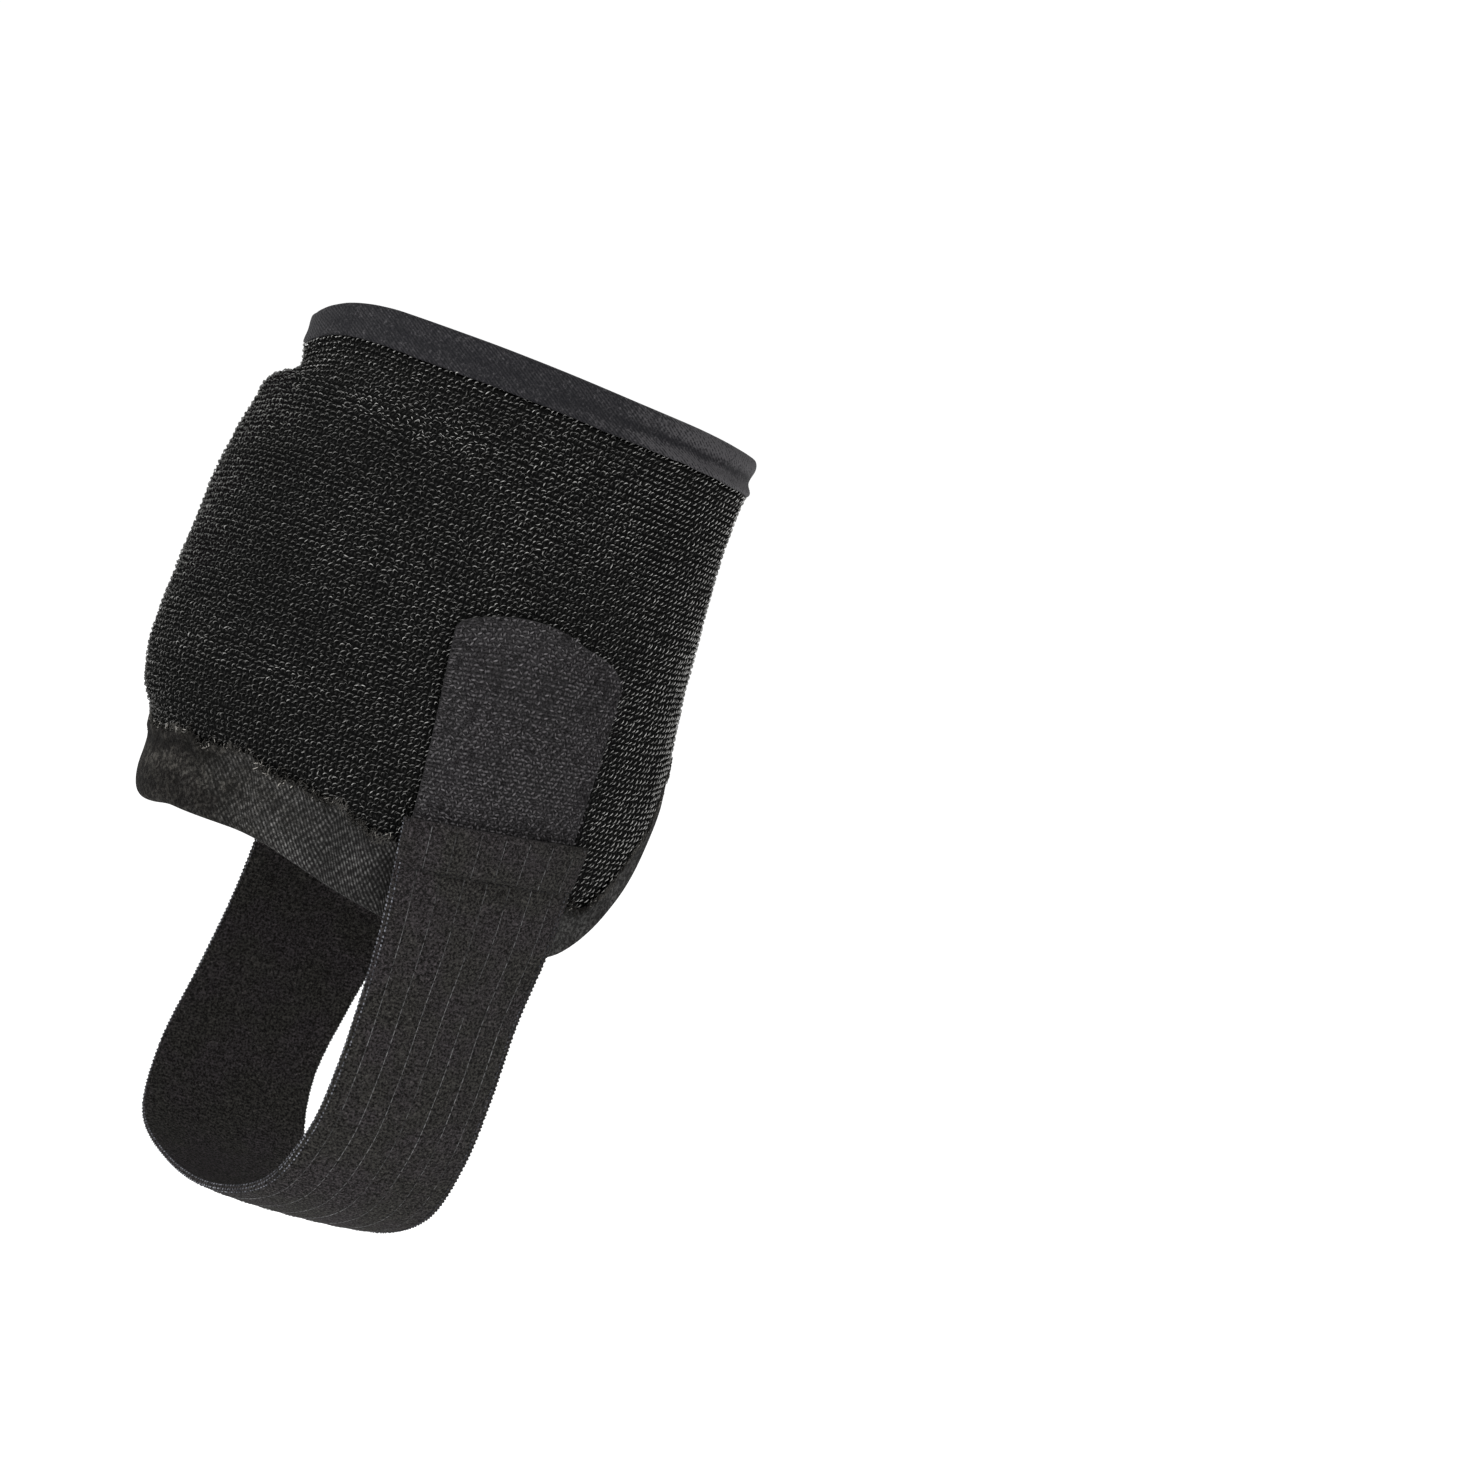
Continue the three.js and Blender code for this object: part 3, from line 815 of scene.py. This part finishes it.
def make_loops():
    rng = np.random.default_rng(11)
    finish = yarn_finish("loop_yarn", (0.0024, 0.0024, 0.0023), (0.60, 0.595, 0.575), 1.3, 0.5)
    angle, height, row = loop_places(0.4)
    count = len(angle)

    # Towards the front each loop is a slanted stroke. Round the side and the back it bends over into a low
    # arch and lies more and more at random. Just below the top tape the loops are small, in even rows.
    turned, wild = from_front(angle), wild_at(angle)
    swirl = 0.5 + 0.5 * lumps(np.degrees(angle) / 9 + 40, height / 7 + 20, 61, 40)
    close = bell(top_of_body(angle), height, 5.5) * smooth_step(turned, 105, 140)
    wild_here = wild * (0.15 + 0.5 * swirl) * (1 - 0.75 * close)
    stretch = loop_pitch(angle) / EVEN_PITCH
    quiet = (1 - 0.24 * smooth_step(turned, 100, 150) + 0.3 * close) * patch_at(angle, height)
    quiet = quiet * (1 + 0.2 * lumps(np.degrees(angle) / 30, row, 91, 80)) * (1.26 - 0.26 * wild)
    # painted highlight on the ledge: the loops there are a little darker, so the pale curls show
    quiet = quiet - 0.06 * ledge_highlight_at(angle, height)

    angle = angle + rng.normal(0, 0.0024, count) * (1.5 - wild + wild_here)
    height = height + rng.normal(0, 0.11, count) * (0.8 - 0.4 * wild + wild_here)
    height = height + 0.13 * lumps(np.degrees(angle) / 4, row * 7.3, 93, 90) * (1 - 0.6 * wild)
    lean = np.radians(41 + 10 * smooth_step(turned, 44, 62) + 5 * wild)
    lean = lean + rng.normal(0, 1, count) * np.radians(10 - 3 * wild + 26 * wild_here)
    forward, rise = np.sin(lean) * stretch, np.cos(lean)
    spots = sleeve_spots(angle, height, -0.10).turned(np.arctan2(forward, rise))
    # The grains picked here get bright tones, which the loop yarn turns into painted glints on their crests;
    # most lie towards the front and just below the top tape.
    painted_glint = rng.random(count) < 0.75 - 0.58 * wild - 0.11 * smooth_step(turned, 105, 140) + 0.45 * close
    long = (0.61 - 0.06 * wild - 0.12 * close) * np.hypot(forward, rise)
    sizes = {
        "long": long * (1 + rng.uniform(-0.2, 0.2, count)),
        "wide": 0.105 + 0.02 * wild + rng.normal(0, 0.012, count),
        "thick": 0.13 + 0.02 * wild,
        "arch": 0.16 + rng.uniform(-0.04, 0.16, count) * wild,
        "curl": rng.normal(0, 0.05, count) - (0.30 + rng.normal(0, 0.16, count)) * wild * (1 - 0.5 * close),
    }
    bright, dim = rng.uniform(0.6, 1.05, count), np.clip(rng.normal(0.54, 0.12, count), 0.1, 0.75)
    sizes["tone"] = quiet * np.where(painted_glint, bright, dim)
    sow_round("sleeve_loops", Grain(3, 5), finish, angle, spots, sizes)

    # Smaller, darker curls fill the dips between the rows.
    angle, height, _ = loop_places(0.92)
    some = rng.random(len(angle)) < 0.15 + 0.8 * wild_at(angle)
    angle, height = angle[some], height[some]
    count = len(angle)
    angle = angle + rng.normal(0, 0.006, count)
    height = height + rng.normal(0, 0.2, count)
    spots = sleeve_spots(angle, height, -0.16).turned(rng.normal(1.2, 0.5, count))
    sizes = {
        "long": rng.uniform(0.28, 0.5, count),
        "wide": rng.uniform(0.09, 0.13, count),
        "thick": np.full(count, 0.13),
        "arch": rng.uniform(0.04, 0.2, count),
        "curl": rng.normal(-0.1, 0.2, count),
    }
    tone = rng.uniform(0.12, 0.46, count) * patch_at(angle, height)
    # painted highlight on the ledge: the curls there are much paler
    sizes["tone"] = tone + 0.85 * ledge_highlight_at(angle, height)
    sow_round("sleeve_curls", Grain(3, 4), finish, angle, spots, sizes)


# --- The tapes ---

TOP_RAGGED, BOTTOM_RAGGED = 0.15, 1.6  # how uneven each tape's cut edge is
TOP_SEED, BOTTOM_SEED = 7, 9
RAGS = 75  # round the sleeve
FRINGE_ENDS = 3600


def soften(outline):
    """Cuts the corners of a closed outline, twice."""
    for _ in range(2):
        after = np.roll(outline, -1, axis=0)
        cut = np.stack([0.75 * outline + 0.25 * after, 0.25 * outline + 0.75 * after], 1)
        outline = cut.reshape(-1, *outline.shape[1:])
    return outline


def tape_outline(angle, edge, proud, depth, up, roll):
    """Inset and height round a tape's closed section, for each angle. A groove lies above a rolled edge."""
    height = edge_at(edge, angle)
    outer, inner = -proud, wall_at(angle, height - up * depth) + proud
    outer_ply, inner_ply = outer + TAPE_THICK, inner - TAPE_THICK
    corner = TAPE_THICK * 0.8
    outline = [
        (outer + TAPE_THICK * 0.95, depth), (outer - roll * 0.6, depth + 0.15), (outer - roll, depth - 0.8),
        (outer + roll * 0.5, depth - 2.4), (outer + roll * 0.4, depth * 0.52),
        (outer - roll * 0.3, depth * 0.3), (outer, corner), (outer + corner, 0),
        (inner - corner, 0), (inner, corner), (inner, depth / 2), (inner, depth),
        (inner_ply, depth), (inner_ply, depth / 2), (inner_ply, TAPE_THICK),
        (outer_ply, TAPE_THICK), (outer_ply, depth / 2),
    ]
    zero = np.zeros_like(angle)
    return soften(np.array([(inset + zero, height - up * down) for inset, down in outline]))


def ragged_edge(angle, seed):
    ring = degrees_round(angle) / 360 * RAGS
    return 0.6 * lumps(ring, 0 * ring, seed, RAGS) + 0.4 * lumps(ring * 2, 0 * ring, seed + 5, 2 * RAGS)


def make_tape(name, edge, proud, depth_at, up, roll_at, finish, seed, ragged):
    """A tape folded over an edge of the sleeve. Up is 1 for the top edge and -1 for the bottom one."""
    columns = ROUND_STEPS
    turns = np.arange(columns + 1) / columns * math.tau
    depth = depth_at(turns) + ragged * ragged_edge(turns, seed)
    sections = tape_outline(turns, edge, proud, depth, up, roll_at(turns))
    sections = np.concatenate([sections, sections[:1]])
    rows = len(sections) - 1
    travel = np.linalg.norm(np.diff(sections, axis=0), axis=1)
    travel = np.concatenate([travel[:1] * 0, np.cumsum(travel, axis=0)])

    def find(u, v):
        return np.rint(v * rows).astype(int), np.rint(u * columns).astype(int)

    def place(u, v):
        i, j = find(u, v)
        inset, height = sections[i, 0, j], sections[i, 1, j]
        wave = 0.12 * lumps(u * 48, v * 6 + seed, seed + 1, 48)
        return sleeve_point(turns[j], height, inset - wave * (inset < 1.5))

    def weave(u, v):
        i, j = find(u, v)
        return np.interp(turns[j], TURN, MEAN_ROUND), travel[i, j]

    def fold_shading(u, v):
        """Over 0 on the ridges of the rolled cloth and under 0 in its groove. The tape finishes paint light
        and shade by it.
        """
        i, j = find(u, v)
        share = np.abs(sections[i, 1, j] - edge_at(edge, turns[j])) / depth[j]
        ridge = 1.3 * bell(share, 0.82, 0.08) + 0.6 * bell(share, 0.24, 0.2)
        return (ridge - bell(share, 0.57, 0.14)) * roll_at(turns[j])

    piece = lay_sheet(name, columns, rows, place, weave, {"fold_shading": fold_shading})
    wear(piece, finish)
    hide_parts(name.replace("_cloth", ""))
    return piece


def make_fringe():
    """Cut ends and loose thread along the bottom tape's upper edge: most are dark, a few catch the light."""
    rng = np.random.default_rng(71)
    count = FRINGE_ENDS
    angle = np.interp(rng.uniform(0, MEAN_ROUND[-1], count), MEAN_ROUND, TURN)
    ragged = BOTTOM_RAGGED * ragged_edge(angle, BOTTOM_SEED)
    height = bottom_of_body(angle) + ragged + rng.normal(0.15, 0.6, count)
    keep = ~under_strap(angle, height + 3)
    angle, height = angle[keep], height[keep]
    count = len(angle)
    on_knit = height > bottom_of_body(angle)
    level = np.where(on_knit, puff(angle, height) + 0.15, 0.25)
    middle = sleeve_point(angle, height, -level)
    up = sleeve_point(angle, height + 0.3, -level) - middle
    out = sleeve_point(angle, height, -level - 1) - middle
    spots = Spots(middle, up, out).turned(rng.normal(0.3, 0.75, count))
    frayed = window(degrees_round(angle), 165, 185, 222, 245)
    pale = rng.random(count) > 0.955 - 0.055 * frayed
    size = np.where(pale, 1 + 0.5 * frayed, 1)
    clump = smooth_step(lumps(np.degrees(angle) / 5 + 3, 0 * angle, 19, 72), 0.1, 0.7)
    tone = np.where(pale, rng.uniform(0.45, 1, count), rng.uniform(0.0, 0.13, count) + 0.12 * clump)
    long, wide = rng.uniform(0.28, 0.75, count) * size, rng.uniform(0.07, 0.12, count) * size
    arch, curl = rng.uniform(0.05, 0.4, count), rng.normal(0, 0.2, count)
    fringe = sow("tape_fringe", Grain(4, 3), spots, long, wide, 0.08, arch, curl, tone)
    finish = yarn_finish("fringe_thread", (0.0045, 0.0042, 0.0038), (0.34, 0.325, 0.30), 0.7)
    wear(fringe, finish)


def top_depth(angle):
    """The top tape is shallower round the back."""
    return TOP_DEPTH - 1.0 * window(degrees_round(angle), 120, 165, 185, 235)


def top_roll(angle):
    """The tape's lower edge rolls out towards the front of the outer side."""
    degrees = np.degrees(np.arctan2(np.sin(angle), np.cos(angle)))
    return 0.15 + 0.65 * window(degrees, -100, -66, -20, 10)


def bottom_depth(angle):
    return edge_at(TAPE, angle)


def bottom_roll(angle):
    """The tape is creased along its middle round the back."""
    return 0.1 + 0.5 * window(degrees_round(angle), 125, 155, 195, 235)


# --- The strap and the tab ---

STEPS = 20  # to each span between two stations
SPANS = len(OUTER_END) + len(FREE_RUN) + len(INNER_END) - 1
EDGE_POWER = 0.55  # how close together the section's points lie towards its edges


def strap_lane(share, lift):
    """A line along the strap: its points, how far along each is, and its directions."""
    path = run_through(strap_stations([share], [lift]), STEPS)[:, 0]
    out = run_through(strap_stations([share], [lift + 0.5]), STEPS)[:, 0] - path
    return path, run_length(path), np.gradient(path, axis=0), out


def spots_along(lane, at):
    path, travel, along, out = lane
    pick = lambda rows: np.stack([np.interp(at, travel, rows[:, k]) for k in range(3)], -1)
    return Spots(pick(path), pick(along), pick(out))


def face_lift(share, face=1):
    """Height of the strap's outer or inner face, which rounds off to its edges."""
    return STRAP_THICK / 2 * (1 + face * (1 - np.abs(share) ** (2 / EDGE_POWER)) ** 0.25)


HEM = 9.6  # the outer end is turned back on itself for this far


def hem_rise(travel):
    """How far the turned end lifts the strap's outer face. A stitched crease ends it."""
    turned = 0.55 * (1 - smooth_step(travel, HEM - 0.9, HEM + 0.3))
    crease = -0.6 * bell(travel, HEM, 0.7)
    return turned + crease - 0.5 * (1 - smooth_step(travel, 0.0, 1.6))


def make_strap():
    around = 56
    rows = SPANS * STEPS
    # Half of the section's points lie on each face, close together round the edges.
    turn = np.arange(around) / around * math.tau
    share = np.sign(np.cos(turn)) * np.abs(np.cos(turn)) ** EDGE_POWER
    lift = STRAP_THICK / 2 * (1 + np.sign(np.sin(turn)) * np.abs(np.sin(turn)) ** 0.5)
    body = run_through(strap_stations(share, lift), STEPS)
    travel = strap_lane(0.0, STRAP_THICK)[1]
    outward = unit(run_through(strap_stations(share, lift + 0.5), STEPS) - body)
    body = body + outward * (hem_rise(travel)[:, None] * (lift / STRAP_THICK) ** 2)[..., None]

    def find(u, v):
        return np.rint(u * rows).astype(int), np.rint(v * around).astype(int) % around

    def place(u, v):
        i, j = find(u, v)
        return body[i, j]

    def weave(u, v):
        i, j = find(u, v)
        return travel[i], share[j] * STRAP_HALF

    strap = lay_sheet("strap_band", rows, around, place, weave)
    close_ends(strap)
    wear(strap, plush_finish())
    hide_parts("arch_strap")
    return strap, travel[-1]


def joined(parts):
    """All the spots of several runs."""
    gather = lambda name: np.concatenate([getattr(part, name) for part in parts])
    return Spots(gather("middle"), gather("along"), gather("out"))


LINE_GAP = 4.8  # between the pale lines along the strap


def make_strap_threads(length):
    rng = np.random.default_rng(23)
    lines, tones = [], []
    for k in range(-3, 4):
        for first, last, shift in ((1.2, HEM - 0.6, 0.8), (HEM + 0.8, length - 1.0, 0.0)):
            at = np.arange(first, last, 1.5)
            at = at + rng.normal(0, 0.08, len(at))
            share = (k * LINE_GAP + shift) / STRAP_HALF
            found = spots_along(strap_lane(share, face_lift(share)), at)
            found.middle = found.middle + found.out * (hem_rise(at)[:, None] + 0.03)
            lines.append(found)
            fade = 0.42 + 0.30 * lumps(at / 11 + 7 * k, at * 0 + k, 31)
            fade = fade * (0.7 + 0.3 * smooth_step(at, HEM, 40))
            tones.append(np.clip(fade + rng.normal(0, 0.12, len(at)), 0.04, 1))
    threads = sow("strap_lines", Grain(4, 3), joined(lines), 0.78, 0.07, 0.06, 0.05, 0, np.concatenate(tones))
    finish = yarn_finish("line_thread", (0.016, 0.016, 0.016), (0.30, 0.30, 0.305), 0.6)
    wear(threads, finish)

    # Thread bound round the two edges: rows of pale dots behind, short dark tufts in front.
    edges, tones = [], []
    # place across the strap, face, pitch and tone of each row
    rows = (
        (-0.992, -1, 0.86, 0.5), (-0.996, 1, 0.86, 0.6), (-0.955, 1, 0.86, 0.5),
        (0.996, -1, 0.72, 0.1), (0.996, 1, 0.9, 0.15), (0.94, 1, 0.9, 0.2),
    )
    for share, face, pitch, pale in rows:
        at = np.arange(0.4, length - 0.3, pitch)
        at = at + rng.normal(0, 0.1, len(at))
        found = spots_along(strap_lane(share, face_lift(share, face)), at)
        edge = abs(share) ** 30
        outwards = unit(-np.sign(share) * found.side * edge + found.out * face * (1.1 - edge))
        turn = found.along + found.out * rng.normal(0.5, 0.35, len(at))[:, None]
        edges.append(Spots(found.middle + outwards * 0.02, turn, outwards))
        shade = pale * (0.75 + 0.35 * lumps(at / 6, at * 0 + 9 * share, 77))
        tones.append(np.clip(shade * rng.uniform(0.3, 1.7, len(at)), 0.03, 1))
    tone = np.concatenate(tones)
    binding = sow("strap_binding", Grain(4, 3), joined(edges), 0.28, 0.17, 0.15, 0.08, 0, tone)
    finish = yarn_finish("binding_thread", (0.008, 0.008, 0.009), (0.34, 0.35, 0.39), 1.0)
    wear(binding, finish)

    # The row of stitches that holds the turned end.
    share = np.arange(-0.93, 0.94, 0.075)
    lanes = [strap_lane(x, STRAP_THICK) for x in share]
    row = joined([spots_along(lane, np.array([HEM + 0.15])) for lane in lanes])
    row = Spots(row.middle + row.out * (hem_rise(HEM) + 0.06), row.side, row.out)
    hem = sow("hem_stitches", Grain(5, 4), row, 0.52, 0.12, 0.1, 0.05, 0, rng.uniform(0.05, 0.4, len(share)))
    wear(hem, yarn_finish("hem_thread", (0.006, 0.006, 0.006), (0.10, 0.10, 0.10), 1.0))
    return threads, binding, hem


def tab_corner(width, drop, below):
    """How far a rounded corner cuts in at places below its top."""
    share = np.clip(1 - below / drop, 0, 1)
    return width * (1 - np.sqrt(1 - share**2))


def tab_back(below):
    return TAB_BACK - tab_corner(*BACK_CORNER, below)


def tab_front(below):
    taper = TAB_TAPER * smooth_step(below, 0, TAB_TOP - TAB_BOTTOM)
    return TAB_FRONT - taper - tab_corner(*FRONT_CORNER, below)


def tab_place(across, below, lift):
    return line_point(OUTER_LINE, TAB_TOP - below + tab_dome(across, below), across, lift)


def tab_share(u, v):
    """Place across the tab and below its top, u of the way from back to front and v of the way down."""
    below = (TAB_TOP - TAB_BOTTOM) * v**1.6
    back, front = tab_back(below), tab_front(below)
    return -back + (back + front) * u, below


def tab_dome(across, below):
    """The tab's top edge is cut in a low arch."""
    return 2.9 * np.sin(np.clip((across + TAB_BACK) / 27, 0, 1) * math.pi) * (1 - smooth_step(below, 0, 14))


def make_tab():
    columns, rows = 40, 60
    # The section runs along the outer face from back to front and returns along the inner face.
    ring = 2 * columns

    def find(u):
        k = np.rint(u * ring).astype(int) % ring
        return k, np.where(k <= columns, k / columns, (ring - k) / columns)

    def place(u, v):
        k, share = find(u)
        rim = np.minimum(share, 1 - share)
        crown = TAB_THICK * (0.5 + 0.5 * np.sqrt(1 - np.clip(1 - rim / 0.035, 0, 1) ** 2))
        level = TAB_LIFT + np.where((k > 0) & (k < columns), crown, TAB_THICK - crown)
        return tab_place(*tab_share(share, v), level)

    def weave(u, v):
        return tab_share(find(u)[1], v)

    tab = lay_sheet("tab_cloth", ring, rows, place, weave)
    close_ends(tab)
    wear(tab, hook_cloth_finish())
    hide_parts("hook_tab")
    return tab


def make_tab_grain():
    rng = np.random.default_rng(41)
    pitch, row = 1.6, 0.86
    across, down = np.meshgrid(np.arange(-24, 24) * pitch, np.arange(0.35, 42, row))
    across = across - (np.arange(len(across)) * 0.43 % pitch)[:, None]
    across, down = across.ravel(), down.ravel()
    # Each cell of the weave holds a fat grain and a thin one that leans the other way.
    thin = np.repeat([False, True], len(across))
    across, down = np.concatenate([across, across + 0.8]), np.concatenate([down, down + 0.12])
    across = across + rng.normal(0, 0.11, len(across))
    down = down + rng.normal(0, 0.08, len(down))
    inside = (across < tab_front(down) - 0.3) & (across > -tab_back(down) + 0.3)
    across, down, thin = across[inside], down[inside], thin[inside]
    level = TAB_LIFT + TAB_THICK

    middle = tab_place(across, down, level)
    up = tab_place(across, down - 0.2, level) - middle
    out = tab_place(across, down, level + 0.5) - middle
    spots = Spots(middle, up, out).turned(np.where(thin, -0.7, 1.1) + rng.normal(0, 0.4, len(across)))
    tone = 0.40 + 0.08 * lumps(across / 4 + 9, down / 4 + 9, 51) + rng.normal(0, 0.17, len(across))
    glint = rng.random(len(across)) < 0.05 + 0.07 * smooth_step(-down, -14, -2)
    tone = np.where(glint, rng.uniform(0.7, 1.0, len(across)), np.clip(tone, 0.08, 0.6))
    long, wide = np.where(thin, 0.44, 0.55), np.where(thin, 0.17, 0.27)
    grain = sow("tab_grain", Grain(5, 4), spots, long, wide * np.where(glint, 0.7, 1.0), 0.22, 0.08, 0, tone)
    finish = yarn_finish("hook_grain", (0.0036, 0.0034, 0.0036), (0.160, 0.152, 0.158), 1.9)
    wear(grain, finish)

    # Short ribs along the back edge, where the weave turns.
    down = np.arange(1.2, 40, 0.72)
    down = down + rng.normal(0, 0.08, len(down))
    across = -TAB_BACK + 0.75 + 0 * down
    middle = tab_place(across, down, level - 0.1)
    beside = tab_place(across + 0.3, down, level - 0.1) - middle
    out = tab_place(across, down, level + 0.5) - middle
    tone = np.clip(rng.normal(0.34, 0.14, len(down)), 0.05, 1)
    ribs = sow("tab_edge_ribs", Grain(4, 3), Spots(middle, beside, out), 0.85, 0.2, 0.16, 0.08, 0, tone)
    wear(ribs, finish)
    return grain, ribs


# --- Floor, light and camera ---

FLOOR = -0.32  # metres
CAMERA_TURN, CAMERA_RISE, CAMERA_ROLL = math.radians(-22), math.radians(3), math.radians(19)


def make_stage():
    bpy.ops.object.select_all(action="DESELECT")
    bpy.ops.mesh.primitive_plane_add(size=8, location=(0, 0, FLOOR))
    floor = bpy.context.object
    floor.name = "floor"
    paper = Finish("pale_floor", 0.9, 0.1)
    tint = paper.noise(400, 2.0)
    paper.colour(paper.mix(tint, (0.86, 0.86, 0.86), (0.9, 0.9, 0.9)))
    paper.shader.inputs["Emission Color"].default_value = (1, 1, 1, 1)
    paper.shader.inputs["Emission Strength"].default_value = 0.75
    floor.data.materials.append(paper.material)

    world = bpy.data.worlds.new("studio")
    bpy.context.scene.world = world
    world.use_nodes = True
    nodes, links = world.node_tree.nodes, world.node_tree.links
    shade = nodes["Background"]
    path = nodes.new("ShaderNodeLightPath")
    level = nodes.new("ShaderNodeMapRange")
    level.inputs["To Min"].default_value = 0.45
    level.inputs["To Max"].default_value = 1.05
    links.new(path.outputs["Is Camera Ray"], level.inputs["Value"])
    links.new(level.outputs[0], shade.inputs["Strength"])
    shade.inputs["Color"].default_value = (1, 1, 1, 1)


def add_light(name, place, aim, size, power):
    lamp = bpy.data.lights.new(name, "AREA")
    lamp.shape = "DISK"
    lamp.size, lamp.energy = size, power
    holder = bpy.data.objects.new(name, lamp)
    bpy.context.collection.objects.link(holder)
    holder.location = place
    holder.rotation_euler = (Vector(aim) - Vector(place)).to_track_quat("-Z", "Y").to_euler()


def aim_camera():
    """Sets the photograph's view and returns its directions to the right, up and back."""
    flat = math.cos(CAMERA_RISE)
    back = Vector((math.sin(CAMERA_TURN) * flat, -math.cos(CAMERA_TURN) * flat, math.sin(CAMERA_RISE)))
    level = Vector((math.cos(CAMERA_TURN), math.sin(CAMERA_TURN), 0))
    up = back.cross(level)
    across = level * math.cos(CAMERA_ROLL) + up * math.sin(CAMERA_ROLL)
    above = up * math.cos(CAMERA_ROLL) - level * math.sin(CAMERA_ROLL)
    place = back * 0.9 + across * 0.0556 - above * 0.0246
    lens = bpy.data.cameras.new("photo_view")
    lens.sensor_width, lens.lens = 36, 109.3
    lens.clip_start, lens.clip_end = 0.05, 30
    camera = bpy.data.objects.new("photo_view", lens)
    bpy.context.collection.objects.link(camera)
    camera.matrix_world = Matrix((
        (across.x, above.x, back.x, place.x),
        (across.y, above.y, back.y, place.y),
        (across.z, above.z, back.z, place.z),
        (0, 0, 0, 1),
    ))
    bpy.context.scene.camera = camera
    return across, above, back


across, above, back = aim_camera()
make_stage()
key = back * 0.75 - across * 0.55 + above * 0.85
fill = back * 0.7 + across * 0.9 + above * 0.25
middle = (0, 0, -0.02)
add_light("key_light", key, middle, 0.7, 14)
add_light("fill_light", fill, middle, 0.9, 7)
bpy.context.scene.view_settings.view_transform = "Standard"

simulate_swell()
make_sleeve()
make_loops()
top = make_tape(
    "top_tape_cloth", TOP, TOP_PROUD, top_depth, 1, top_roll,
    twill_finish(), TOP_SEED, TOP_RAGGED,
)
bottom = make_tape(
    "bottom_tape_cloth", BOTTOM, BOTTOM_PROUD, bottom_depth, -1, bottom_roll,
    brushed_finish(), BOTTOM_SEED, BOTTOM_RAGGED,
)
make_fringe()
strap, strap_length = make_strap()
strap_threads = make_strap_threads(strap_length)
tab = make_tab()
tab_grains = make_tab_grain()

# The strap's flat length, in metres.
strap_length * MM
